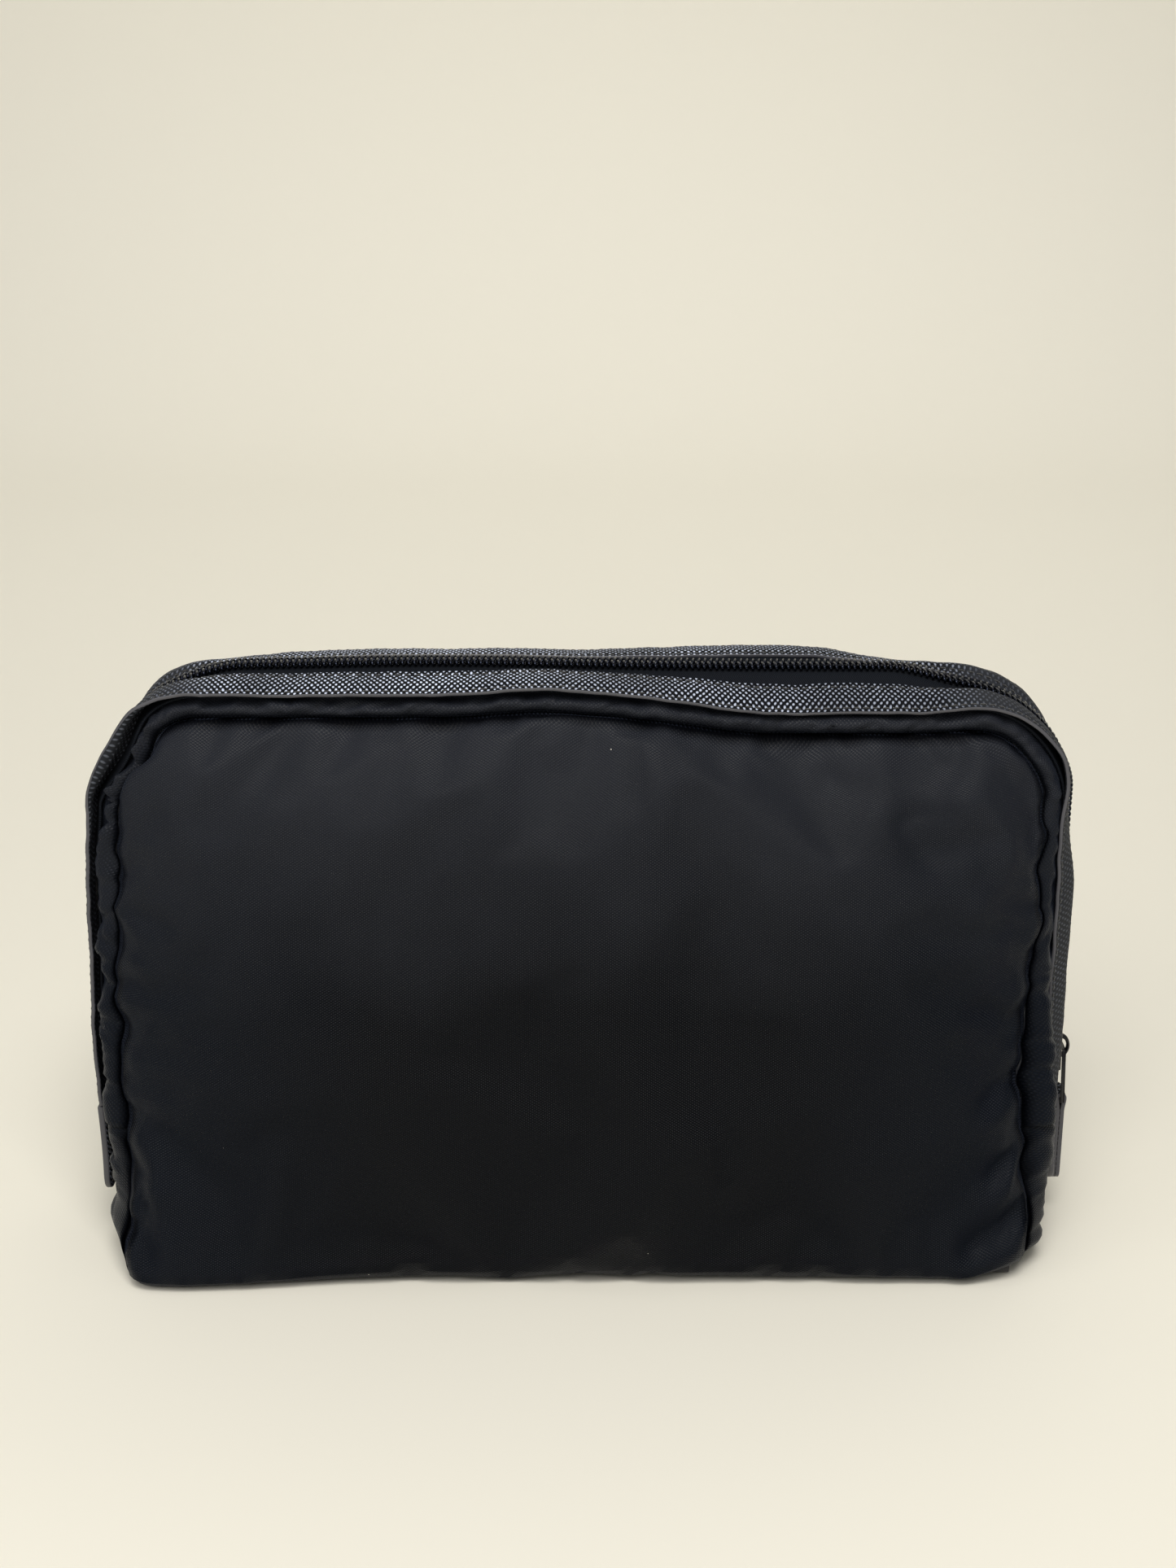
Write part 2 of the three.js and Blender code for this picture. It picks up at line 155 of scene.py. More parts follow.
# ---- the two padded panels ----
# Front and back are black nylon satin twill quilted on foam and turned in along a sewn edge. They swell out
# of that seam, pucker beside it, and fold under the base with no seam there.

# Sizes are in millimetres. The sewn outline comes from the frame.
panel_low, panel_high = (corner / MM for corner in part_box("front_panel"))
SEAM_HALF = panel_high.x
SEAM_TOP = panel_high.z
SEAM_RADIUS = 21
BASE_DEPTH = 37  # half the bag's depth at its base and at its top
TOP_DEPTH = 17.5
PUFF = 8  # how far the filling swells a panel's middle
EDGE_SINK = 4.2  # how deep the seam lies, and the height and width of the roll that rises out of it
EDGE_ROLL = 4.4
EDGE_ROLL_WIDTH = 2.4
FOOT_RADIUS = 5  # the bend at the bottom edge, and how far the cloth runs on under the base
FOOT_TURN = -7.5
LIFT = 1.6  # how far the bottom edge bows up off the floor between its corners
CORNER_X, CORNER_Z = 92.8, 124  # the middle of the bend at the zip's upper corners
HELD_BELOW = 2.6  # the filled panel's cloth is held under the base up to here
FILL_FRAMES = 22
FILL_LIMIT = 6
FRONT, BACK = -1, 1
HALVES = ((FRONT, "front"), (BACK, "back"))


def ramp(x, low, high):
    """0 below low and 1 above high, with a smooth rise between."""
    t = min(max((x - low) / (high - low), 0), 1)
    return t * t * (3 - 2 * t)


def bump(x, middle, width):
    """A bell that is 1 at its middle and fades over its width."""
    return math.exp(-((x - middle) / width) ** 2)


def seam_depth(z):
    """Half the depth between the two panels' seams at height z."""
    return BASE_DEPTH + (TOP_DEPTH - BASE_DEPTH) * min(max(z, 0), SEAM_TOP) / SEAM_TOP


def panel_half(z, inset=0.0):
    """A panel's half width at height z, inset inside its seam."""
    rise = max(0, z - (SEAM_TOP - SEAM_RADIUS))
    return SEAM_HALF - SEAM_RADIUS + math.sqrt(max(0, (SEAM_RADIUS - inset) ** 2 - rise ** 2))


def from_seam(x, z):
    """How far a point of a panel lies inside the seam over its top and sides."""
    past_x = abs(x) - (SEAM_HALF - SEAM_RADIUS)
    past_z = z - (SEAM_TOP - SEAM_RADIUS)
    if past_x > 0 and past_z > 0:
        return SEAM_RADIUS - math.hypot(past_x, past_z)
    return min(SEAM_HALF - abs(x), SEAM_TOP - z)


def settled(x, y, z):
    """Where wear has moved a point of the soft bag: waves along the top, dents at the corners, slack ends."""
    off = abs(y)
    # The tapes and trims wave along the top, each half in its own way, and the coil between them sags a little.
    outward = 0.6 * ramp(off, 3, 6.5) + 0.4 * min(max((off - 6) / 10, 0), 1)
    if y < 0:
        wave = 0.2 - 1.6 * bump(x, -10, 14) + 4.6 * ramp(x, 6, 48) - 2.4 * ramp(x, 82, 112)
    else:
        wave = -1.5 - 1.0 * bump(x, 40, 26) + 3.6 * ramp(x, 58, 86) + 3.8 * ramp(-x, 62, 104)
    middle = 1 - ramp(off, 3, 9)
    wave = wave * outward - 1.2 * middle * bump(x, -35, 45)
    down = wave * ramp(z, 112, 143)
    # The zip sinks between the leather strips as it turns each corner.
    sunk = middle * (4.6 * ramp(x, 76, 100) + 3.6 * ramp(-x, 84, 104)) * ramp(z, 118, 140)
    # The left corner is pushed in.
    angle = math.atan2(max(z - CORNER_Z, 0), abs(x) - CORNER_X)
    kept = ramp(off, 14.5, 19) if y < 0 else 0.2 * ramp(off, 0, 14)
    dent = 5.6 * bump(angle, 0.52, 0.44) * (1 - kept) * ramp(-x, 80, 96) * ramp(z, 108, 124)
    down += sunk + dent * 0.55
    # The sides lean in and out between the seams, and the cloth beside the right end of the zip hangs slack.
    ends = min(max((118.4 - abs(x)) / 3.4, 0), 1) * ramp(abs(x), 50, 112)
    if x > 0:
        aside = -3.2 * bump(z, 57, 26) * ends
        slack = 2.4 * ramp(z, 18, 48) * (1 - ramp(z, 98, 122))
        aside += slack * ramp(off, 3, 6.5) * (1 - ramp(off, 8, 16)) * ramp(x, 112, 119)
    else:
        aside = 1.5 * bump(z, 32, 14) * ends - 1.6 * bump(z, 8, 10) * ends
        aside -= 2.4 * bump(z, 58, 40) * ramp(-x, 96, 122)
    # The sewn edge wanders between its puckers.
    near = bump(from_seam(x, z), 0, 4) * ramp(off, 13, 17) * ramp(z, 2, 12)
    aside += 2.6 * near * noise.noise(Vector((x / 9, z / 7, 11)))
    down += 2.2 * near * noise.noise(Vector((x / 9, z / 7, 31)))
    # The front's bottom edge spreads forward, most at the left corner, and lifts at the right one.
    spread = ramp(-y, 24, 36) * (1.2 + 4.2 * ramp(-x, 40, 112)) * (1 - ramp(z, 4, 44))
    down -= 4 * ramp(x, 97, 115) * ramp(-y, 8, 34) * (1 - ramp(z, 6, 30))
    return Vector((x + aside + dent * 0.83, y - spread, z - down))


def panel_front(x, z):
    """How far a panel's outer face stands from the bag's middle plane."""
    across = abs(x) / panel_half(min(z, SEAM_TOP))
    up = z / SEAM_TOP
    swell = PUFF * (1 - across ** 3) * (1 - (2 * up - 1) ** 2)
    edge = max(0, from_seam(x, z))
    return seam_depth(z) - EDGE_SINK + EDGE_ROLL * (1 - math.exp(-edge / EDGE_ROLL_WIDTH)) + swell


def panel_point(x, z, end, depth=0.0):
    """A point of the panel's face, depth inside it. Below z of 0 the cloth has turned under the base."""
    lift = LIFT * max(0, 1 - (x / 100) ** 2)
    if z >= FOOT_RADIUS:
        return settled(x, end * (panel_front(x, z) - depth), z + lift * (1 - ramp(z, 0, 30)))
    angle = (FOOT_RADIUS - z) / FOOT_RADIUS
    reach = FOOT_RADIUS - depth
    y = panel_front(x, FOOT_RADIUS) - FOOT_RADIUS + reach * math.cos(min(angle, math.pi / 2))
    y -= max(0, angle - math.pi / 2) * FOOT_RADIUS
    height = FOOT_RADIUS - reach * math.sin(min(angle, math.pi / 2)) + lift
    return settled(x, end * y, height)


def lay_flat(bm, flat):
    """Gives each vertex of a sheet its place on the flat cloth or leather, in metres."""
    uv = bm.loops.layers.uv.new("cloth")
    for face in bm.faces:
        for loop in face.loops:
            loop[uv].uv = flat[loop.vert]


def panel_grid(end, columns, rows, inset=0.0, depth=0.0, foot=FOOT_TURN):
    """A panel as an open sheet. Rows crowd towards the top and columns towards the sides, where it puckers."""
    bm = bmesh.new()
    bmesh.ops.create_grid(bm, x_segments=columns, y_segments=rows, size=1)
    seam_shade = bm.verts.layers.float.new("seam_shade")
    flat = {}
    for v in bm.verts:
        up = (v.co.y + 1) / 2
        z = foot + (SEAM_TOP - inset - foot) * (0.35 * up + 0.65 * math.sin(up * math.pi / 2))
        x = (0.5 * v.co.x + 0.5 * math.sin(v.co.x * math.pi / 2)) * panel_half(z, inset)
        flat[v] = (x * MM, z * MM)
        # Painted shade: this weight is 1 at the seam, where the cloth is darkened to stand for the groove's
        # shade.
        v[seam_shade] = 1 - ramp(from_seam(x, z), 0.3, 2.2)
        v.co = panel_point(x, z, end, depth) * MM
    lay_flat(bm, flat)
    if end == BACK:
        bmesh.ops.reverse_faces(bm, faces=bm.faces)
    return bm


def fold(piece, end, start, stop, width, height):
    """Presses a long soft fold into a panel between two points given as (x, z)."""
    a, b = Vector(start), Vector(stop)
    way = b - a
    for v in piece.data.vertices:
        p = Vector((v.co.x, v.co.z)) / MM
        if (v.co.y < 0) != (end < 0) or p.y < 1:
            continue
        t = (p - a).dot(way) / way.length_squared
        off = (p - a - way * min(max(t, 0), 1)).length
        if off < 3 * width:
            along = ramp(t, -0.25, 0.3) * ramp(1.25 - t, 0, 0.5)
            edge = ramp(from_seam(p.x, min(p.y, SEAM_TOP)), 0, 3)
            v.co.y += end * height * MM * along * edge * math.exp(-(off / width) ** 2)


def inflate(piece, end, held):
    """Fills a panel by cloth simulation: its sewn edge stays, and spare cloth puckers beside it."""
    start = [v.co.copy() for v in piece.data.vertices]
    for v in piece.data.vertices:
        # A trace of unevenness lets the spare cloth choose where to buckle.
        v.co.y += end * 0.15 * MM * noise.noise(v.co / (6 * MM))
    group = piece.vertex_groups.new(name="sewn")
    group.add(held, 1.0, "REPLACE")
    cloth = piece.modifiers.new("fill", "CLOTH")
    cloth.settings.vertex_group_mass = "sewn"
    cloth.settings.quality = 6
    cloth.settings.mass = 0.15
    cloth.settings.tension_stiffness = 30
    cloth.settings.compression_stiffness = 30
    cloth.settings.shear_stiffness = 10
    cloth.settings.bending_stiffness = 8
    cloth.settings.shrink_min = -0.014
    cloth.settings.effector_weights.gravity = 0
    cloth.settings.use_pressure = True
    cloth.settings.uniform_pressure_force = 0.45
    cloth.collision_settings.use_collision = False
    cloth.point_cache.frame_start = 1
    cloth.point_cache.frame_end = FILL_FRAMES
    for number in range(1, FILL_FRAMES + 1):
        scene.frame_set(number)
    shown = piece.evaluated_get(bpy.context.evaluated_depsgraph_get())
    ended = [v.co.copy() for v in shown.data.vertices]
    piece.modifiers.remove(cloth)
    piece.vertex_groups.remove(group)
    for v, before, after in zip(piece.data.vertices, start, ended):
        moved = after - before
        if moved.length > FILL_LIMIT * MM:
            moved *= FILL_LIMIT * MM / moved.length
        v.co = before + moved
    scene.frame_set(1)


def half_piece(piece, end, *nodes):
    """A piece of one half of the bag, its place baked into its mesh, with the frame's parts that it replaces
    hidden.
    """
    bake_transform(piece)
    if nodes:
        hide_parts(*nodes)


def nylon_twill(name, coordinate_kind="UV"):
    """Black nylon satin twill: nearly black with a blue cast, soft sheen, fine staggered floats, white lint."""
    material, tree, shader = new_material(name, Roughness=0.38, Sheen_Weight=0.07, Sheen_Roughness=0.4,
                                          Sheen_Tint=linear("8A96B4"), Specular_IOR_Level=0.12)
    coordinate = node(tree, "TexCoord").outputs[coordinate_kind]
    # Its floats are 0.55 by 0.28 mm in staggered rows. They are drawn at 1.0 by 0.65 mm, as two crossed waves.
    waves = []
    for tilt in (58, -58):
        turned = node(tree, "Mapping", {"Rotation": (0, 0, math.radians(tilt))}, {"Vector": coordinate})
        wave = node(tree, "TexWave", {"bands_direction": "X", "Scale": 0.314 / (0.55 * MM), "Distortion": 0.9,
                                      "Detail": 2.0, "Detail Scale": 1.5}, {"Vector": turned.outputs[0]})
        waves.append(wave.outputs["Fac"])
    floats = node(tree, "Math", {"operation": "MULTIPLY"}, {0: waves[0], 1: waves[1]})
    bumped = node(tree, "Bump", {"Strength": 0.8, "Distance": 0.16 * MM}, {"Height": floats.outputs[0]})
    tree.links.new(bumped.outputs[0], shader.inputs["Normal"])
    patches = node(tree, "TexNoise", {"Scale": 28.0, "Detail": 3.0}, {"Vector": coordinate})
    # Painted light greys and lightens the cloth towards the top of the bag, where the lamp above falls, and a
    # painted sheen turns it lighter and bluer towards the ends.
    place = node(tree, "SeparateXYZ", links={"Vector": node(tree, "TexCoord").outputs["Object"]})
    clouded = node(tree, "Math", {"operation": "MULTIPLY_ADD", 1: 0.05}, {0: patches.outputs["Fac"],
                                                                          2: place.outputs["Z"]})
    painted_top_light = node(tree, "MapRange", {"From Min": 0.1, "From Max": 0.172}, {"Value": clouded.outputs[0]})
    aside = node(tree, "Math", {"operation": "ABSOLUTE"}, {0: place.outputs["X"]})
    end_sheen_and_coil_wear = node(tree, "MapRange", {"From Min": 0.05, "From Max": 0.12}, {"Value": aside.outputs[0]})
    # Painted sheen: the black is lighter and bluer towards the ends.
    black = node(tree, "MixRGB", {"Color1": linear("010205"), "Color2": linear("070C15")},
                 {"Fac": end_sheen_and_coil_wear.outputs[0]})
    dye_and_painted_light = node(tree, "MixRGB", {"Color2": linear("212329")},
               {"Fac": painted_top_light.outputs[0], "Color1": black.outputs[0]})
    lit = node(tree, "MixRGB", {"blend_type": "ADD", "Color2": linear("0C0F15")},
               {"Fac": floats.outputs[0], "Color1": dye_and_painted_light.outputs[0]})
    # Lint: one small speck in some cells of a 9 mm grid.
    cells = node(tree, "TexVoronoi", {"Scale": 1 / (9 * MM)}, {"Vector": coordinate})
    speck = node(tree, "Math", {"operation": "LESS_THAN", 1: 0.02}, {0: cells.outputs["Distance"]})
    chosen = node(tree, "SeparateColor", links={"Color": cells.outputs["Color"]})
    some = node(tree, "Math", {"operation": "GREATER_THAN", 1: 0.72}, {0: chosen.outputs[0]})
    dust = node(tree, "Math", {"operation": "MULTIPLY"}, {0: speck.outputs[0], 1: some.outputs[0]})
    dusted = node(tree, "MixRGB", {"Color2": linear("B9B6AE")},
                  {"Fac": dust.outputs[0], "Color1": lit.outputs[0]})
    # Painted shade: the cloth is darkened to near black, and its gloss taken away, where it turns into a seam,
    # standing in for the shade in the groove.
    seam_shade = node(tree, "Attribute", {"attribute_name": "seam_shade"}).outputs["Fac"]
    seam_shaded = node(tree, "MixRGB", {"Color2": linear("010102")}, {"Fac": seam_shade, "Color1": dusted.outputs[0]})
    tree.links.new(seam_shaded.outputs[0], shader.inputs["Base Color"])
    gloss = node(tree, "MapRange", {"To Min": 0.1, "To Max": 0.0}, {"Value": seam_shade})
    tree.links.new(gloss.outputs[0], shader.inputs["Specular IOR Level"])
    return material


nylon = nylon_twill("nylon satin twill")

COLUMNS, ROWS = 112, 78
# Each fold runs from (x, z) to (x, z), and then come its width and its height, which is below 0 for a hollow.
# The front's are the puckers of its right seam and lower corners, then those of its left side and its top.
FRONT_FOLDS = [
    ((113, 69), (97, 76), 2.4, -2.0), ((112, 74), (99, 83), 2.6, 1.1), ((112, 63), (99, 64), 2.4, 1.2),
    ((112, 57), (100, 50), 2.3, -2.0), ((112, 49), (101, 43), 2.6, 1.2), ((113, 39), (104, 28), 2.4, -2.2),
    ((114, 31), (103, 21), 2.6, 1.4), ((115, 22), (98, 8), 3.2, -2.4), ((114, 12), (96, 3), 2.6, 1.3),
    ((113, 92), (103, 97), 2.4, -1.3), ((113, 104), (104, 106), 2.6, 1.0), ((96, 42), (60, 30), 7.0, 0.9),
    ((-114, 30), (-110, 7), 3.4, -2.8), ((-110, 30), (-102, 8), 3.2, 1.7), ((-114, 47), (-101, 41), 3.0, -1.2),
    ((-114, 57), (-104, 57), 2.6, 0.9), ((-115, 73), (-104, 70), 2.6, -0.9), ((-104, 60), (-78, 52), 6.0, 0.8),
    ((-115, 100), (-100, 96), 3.0, -0.9), ((-115, 86), (-102, 82), 3.0, 0.8), ((-60, 60), (30, 22), 16.0, 0.9),
    ((12, 143), (13, 126), 2.0, -1.2), ((17, 142), (22, 122), 3.5, 0.9), ((-46, 144), (-42, 132), 3.0, -0.8),
    ((-98, 137), (-72, 122), 9.0, 2.0), ((-84, 118), (-60, 112), 8.0, -0.9), ((58, 143), (62, 130), 3.0, -0.9),
    ((62, 132), (88, 122), 4.5, -1.4), ((70, 126), (100, 128), 4.5, 1.5), ((78, 114), (104, 118), 4.0, -1.2),
    ((106, 112), (96, 98), 4.0, 1.1), ((108, 134), (113, 114), 3.6, -2.6), ((102, 128), (108, 110), 3.4, 1.2),
]
BACK_FOLDS = [
    ((-112, 62), (-98, 66), 3.0, -1.0), ((-112, 50), (-98, 48), 3.0, 0.8),
    ((112, 56), (98, 58), 3.0, -0.9), ((-60, 136), (-30, 120), 8.0, 1.2),
    ((40, 142), (42, 124), 2.5, -0.8), ((86, 130), (64, 116), 7.0, 1.0),
    ((-20, 40), (60, 70), 16.0, 0.8), ((-108, 28), (-96, 6), 3.5, -1.0),
    ((110, 26), (90, 8), 3.5, -1.0),
]
for (end, name), folds in zip(HALVES, (FRONT_FOLDS, BACK_FOLDS)):
    panel = new_piece(f"{name}_padded_panel", panel_grid(end, COLUMNS, ROWS), nylon, outward=False)
    # The seam all round holds the cloth, and so does the base that it is folded under.
    bm = bmesh.new()
    bm.from_mesh(panel.data)
    held = sorted(v.index for v in bm.verts if v.is_boundary or v.co.z < HELD_BELOW * MM)
    bm.free()
    inflate(panel, end, held)
    for line in folds:
        fold(panel, end, *line)
    panel.modifiers.new("quilt", "SOLIDIFY").thickness = 3 * MM
    panel.modifiers["quilt"].offset = -1
    half_piece(panel, end, f"{name}_panel", f"{name}_foam")

# ---- the base and the two ends below the zip ----
# The same nylon closes the bag's ends from the base up to the zip, rolled beside its seams and turned under
# the base, where a flat sheet of it covers a stiff board. These parts stay still when the bag opens.

BAND_HALF = 122.8  # the zip's middle line: half its span, its top, its corners' radius and its ends' height
BAND_TOP = 154.1
BAND_RADIUS = 30
ZIP_FOOT = 40.2
GUSSET_IN = 11  # where the gusset meets the tape under the trim: out from the middle line, and below it
GUSSET_DROP = 1.9
SEAM_OUT = 0.2  # how far past the panels' outline the gusset is sewn
ROLL = 3.0  # how far the gusset puffs out
END_TOP = 46  # how far up the cloth of the ends reaches, under the tapes
RIGHT, LEFT = 1, -1
ENDS = ((RIGHT, "right"), (LEFT, "left"))


def roll(t, x, z):
    """The gusset's puffed section, from under the trim at 0 to the seam's bottom at 1, fullest low down."""
    fullness = 1 + ramp(x, 100, 114) * (0.85 * bump(z, 42, 20) - 0.4 * bump(z, 96, 26))
    fullness += 0.15 * ramp(-x, 100, 114) * bump(z, 38, 22)
    return ROLL * fullness * math.sin(math.pi * t ** 1.9)


def puckers(along, t, seed):
    """Short cross wrinkles of a gusset, as a height in millimetres at a distance along it."""
    coarse = noise.noise(Vector((along / 6.5, t * 1.1, seed)))
    fine = noise.noise(Vector((along / 2.6, t * 1.6, seed + 7)))
    crease = noise.noise(Vector((along / 8 + 0.7 * t, t * 0.8, seed + 19)))
    folded = 2.2 * coarse + 0.9 * fine - 1.5 * math.exp(-(crease / 0.09) ** 2) * ramp(t, 0.3, 0.75)
    return folded * math.sin(math.pi * t) ** 0.7


def end_x(y, z, side):
    """How far out an end's cloth stands at one height and distance from the middle."""
    t = min(max((abs(y) - GUSSET_IN) / (seam_depth(z) - EDGE_SINK - GUSSET_IN), 0), 1)
    seam_x = SEAM_HALF + SEAM_OUT
    x = (BAND_HALF - GUSSET_DROP) * (1 - t) + seam_x * t + roll(t, side * SEAM_HALF, z)
    return x + 1.6 * (1 - (y / BASE_DEPTH) ** 2) * (1 - ramp(z, 0, 32))


def end_grid(side, depth=0.0, foot=-4.0, top=END_TOP):
    """The cloth of one end as an open sheet, rolled beside its seams and turned in under the base."""
    bm = bmesh.new()
    bmesh.ops.create_grid(bm, x_segments=64, y_segments=40, size=1)
    seam_shade = bm.verts.layers.float.new("seam_shade")
    flat = {}
    for v in bm.verts:
        z = foot + (top - foot) * (v.co.y + 1) / 2
        across = v.co.x * (seam_depth(z) - EDGE_SINK - depth * 0.5)
        flat[v] = (across * MM, z * MM)
        t = min(max((abs(across) - GUSSET_IN) / (seam_depth(z) - EDGE_SINK - GUSSET_IN), 0), 1)
        # Painted shade: this weight is 1 at the seam, where the cloth is darkened to stand for the groove's
        # shade.
        v[seam_shade] = ramp(t, 0.92, 0.98)
        wrinkle = 0.8 * puckers(z + 40 * side, t, 3 + side + (across > 0))
        wrinkle += 1.1 * noise.noise(Vector((across / 17, z / 9, side * 5)))
        turn = min(max((FOOT_RADIUS - z) / FOOT_RADIUS, 0), math.pi / 2)
        under = max(0, FOOT_RADIUS * (1 - math.pi / 2) - z)
        x = end_x(across, max(z, FOOT_RADIUS), side) - FOOT_RADIUS * (1 - math.cos(turn)) - under - depth
        x += wrinkle * ramp(z, -2, 6) * ramp(END_TOP - z, 0, 10) - 0.7 * ramp(z, 36, 40)
        height = z if turn == 0 else FOOT_RADIUS * (1 - math.sin(turn)) + 0.05
        v.co = settled(side * x, across * (1 - 0.12 * (1 - ramp(z, -4, 5))), height) * MM
    lay_flat(bm, flat)
    if side < 0:
        bmesh.ops.reverse_faces(bm, faces=bm.faces)
    return bm


def thicken(piece, thickness, rim=0.0):
    """Gives a sheet its thickness, inwards from its outer face, and rounds its rim."""
    solid = piece.modifiers.new("thickness", "SOLIDIFY")
    solid.thickness = thickness * MM
    solid.offset = -1
    if rim:
        edge = piece.modifiers.new("rounded rim", "BEVEL")
        edge.width = rim * MM
        edge.segments = 2
        edge.angle_limit = math.radians(50)


for side, name in ENDS:
    cloth = new_piece(f"{name}_end_cloth", end_grid(side), nylon, outward=False)
    thicken(cloth, 0.8)
    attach(cloth, "base")
    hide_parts(f"{name}_gusset")

bm = bmesh.new()
bmesh.ops.create_grid(bm, x_segments=60, y_segments=24, size=1)
for v in bm.verts:
    y = v.co.y * 32.5
    x = v.co.x * (SEAM_HALF - 6 + 4.8 * (1 - (y / BASE_DEPTH) ** 2))
    lift = LIFT * max(0, 1 - (x / 100) ** 2) * ramp(abs(y), 20, 34)
    v.co = settled(x, y, 0.9 + lift) * MM
base_cloth = new_piece("base_cloth", bm, nylon_twill("nylon under the base", "Object"), outward=False)
thicken(base_cloth, 0.8)
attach(base_cloth, "base")
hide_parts("base_panel")

# ---- the gusset strips ----
# A strip of the nylon runs from the zip to each panel's seam, over the top and down both ends. It is gathered
# as it is sewn, so it stands in a soft roll full of short wrinkles, with a deep groove at the seam.

SIDE_RUN = BAND_TOP - BAND_RADIUS - ZIP_FOOT
TURN_RUN = BAND_RADIUS * math.pi / 2
TOP_RUN = 2 * (BAND_HALF - BAND_RADIUS)
BAND_RUN = 2 * SIDE_RUN + 2 * TURN_RUN + TOP_RUN


def arch(s, half=BAND_HALF, top=BAND_TOP, radius=BAND_RADIUS):
    """A point of an arched outline and its outward normal, for a distance along the zip from its left foot."""
    right = s > BAND_RUN / 2
    k = BAND_RUN - s if right else s
    sign = 1 if right else -1
    if k <= SIDE_RUN:
        return sign * half, ZIP_FOOT + (top - radius - ZIP_FOOT) * k / SIDE_RUN, sign, 0
    if k <= SIDE_RUN + TURN_RUN:
        angle = (k - SIDE_RUN) / BAND_RADIUS
        nx, nz = sign * math.cos(angle), math.sin(angle)
        return sign * (half - radius) + radius * nx, top - radius + radius * nz, nx, nz
    share = 1 - (k - SIDE_RUN - TURN_RUN) / (TOP_RUN / 2)
    return sign * (half - radius) * share, top, 0, 1


def on_band(s, out, rise, end):
    """A point beside the zip: s along it, out from its middle line towards one half, and rise above it."""
    x, z, nx, nz = arch(s)
    return settled(x + nx * rise, end * out, z + nz * rise)


def gusset_point(s, t, end, depth=0.0):
    """A point of a gusset strip, t of the way from the zip to the seam, and the strip's width there."""
    x, z, nx, nz = arch(s)
    inner = Vector((x - nx * GUSSET_DROP, end * GUSSET_IN, z - nz * GUSSET_DROP))
    sx, sz, mx, mz = arch(s, SEAM_HALF, SEAM_TOP, SEAM_RADIUS)
    seam = Vector((sx + mx * SEAM_OUT, end * (seam_depth(sz) - EDGE_SINK), sz + mz * SEAM_OUT))
    chord = seam - inner
    out = Vector((nz, 0, -nx)).cross(chord).normalized() * end
    wrinkle = puckers(s, t, end) * (1 - 0.4 * ramp(sx, 100, 114) * ramp(sz, 62, 80))
    swell = roll(t, sx, sz) + wrinkle * ramp(min(s, BAND_RUN - s), 0, 12) - depth
    return settled(*(inner + chord * t + out * swell)), chord.length


def ribbon(end, steps, across, place):
    """A strip along the whole zip, as an open sheet. place(s, t) gives its points and its width there."""
    bm = bmesh.new()
    bmesh.ops.create_grid(bm, x_segments=steps, y_segments=across, size=1)
    seam_shade = bm.verts.layers.float.new("seam_shade")
    flat = {}
    for v in bm.verts:
        s, t = BAND_RUN * (v.co.x + 1) / 2, (v.co.y + 1) / 2
        # Painted shade: this weight is 1 at the seam, where the cloth is darkened to stand for the groove's
        # shade.
        v[seam_shade] = ramp(t, 0.92 - 0.07 * arch(s)[3], 0.98)
        point, width = place(s, t)
        flat[v] = (s * MM, t * width * MM)
        v.co = point * MM
    lay_flat(bm, flat)
    if end == FRONT:
        bmesh.ops.reverse_faces(bm, faces=bm.faces)
    return bm


for end, name in HALVES:
    strip = new_piece(f"{name}_gusset_strip",
                      ribbon(end, 420, 16, lambda s, t, end=end: gusset_point(s, t, end)), nylon, outward=False)
    thicken(strip, 0.8)
    half_piece(strip, end, f"{name}_gusset")

# ---- the lining ----
# Black plain-woven polyester covers the inside: one sheet on each panel, one on each gusset strip and end,
# and one over the base board. It is smooth and a little loose.

lining, lining_tree, lining_shader = new_material("plain-woven polyester", Roughness=0.42, Sheen_Weight=0.2,
                                                  Sheen_Roughness=0.4, Base_Color=linear("1B1D24"))
# Threads 0.4 mm apart, one over one under.
weave = node(lining_tree, "TexChecker", {"Scale": 1 / (0.4 * MM)},
             {"Vector": node(lining_tree, "TexCoord").outputs["Object"]})
weave_bump = node(lining_tree, "Bump", {"Strength": 0.3, "Distance": 0.08 * MM},
                  {"Height": weave.outputs["Fac"]})
lining_tree.links.new(weave_bump.outputs[0], lining_shader.inputs["Normal"])
LINING_DEPTH = 5.0

for end, name in HALVES:
    cloth = new_piece(f"{name}_panel_lining", panel_grid(end, 60, 48, inset=2.5, depth=LINING_DEPTH, foot=4.2),
                      lining, outward=False)
    thicken(cloth, 0.4)
    half_piece(cloth, end, f"{name}_lining")
    strip = new_piece(f"{name}_strip_lining",
                      ribbon(end, 220, 8, lambda s, t, end=end: gusset_point(s, 0.02 + 0.93 * t, end, 2.0)),
                      lining, outward=False)
    thicken(strip, 0.4)
    half_piece(strip, end, f"{name}_gusset_lining")
for side, name in ENDS:
    cloth = new_piece(f"{name}_end_lining", end_grid(side, depth=2.2, foot=4.6, top=45), lining, outward=False)
    thicken(cloth, 0.4)
    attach(cloth, "base")
    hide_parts(f"{name}_gusset_lining")


def grained(name, scale, detail, strength, depth, **sockets):
    """A material roughened by fine grain, its depth in millimetres."""
    material, tree, shader = new_material(name, **sockets)
    grain = node(tree, "TexNoise", {"Scale": scale, "Detail": detail},
                 {"Vector": node(tree, "TexCoord").outputs["Object"]})
    bumped = node(tree, "Bump", {"Strength": strength, "Distance": depth * MM},
                  {"Height": grain.outputs["Fac"]})
    tree.links.new(bumped.outputs[0], shader.inputs["Normal"])
    return material


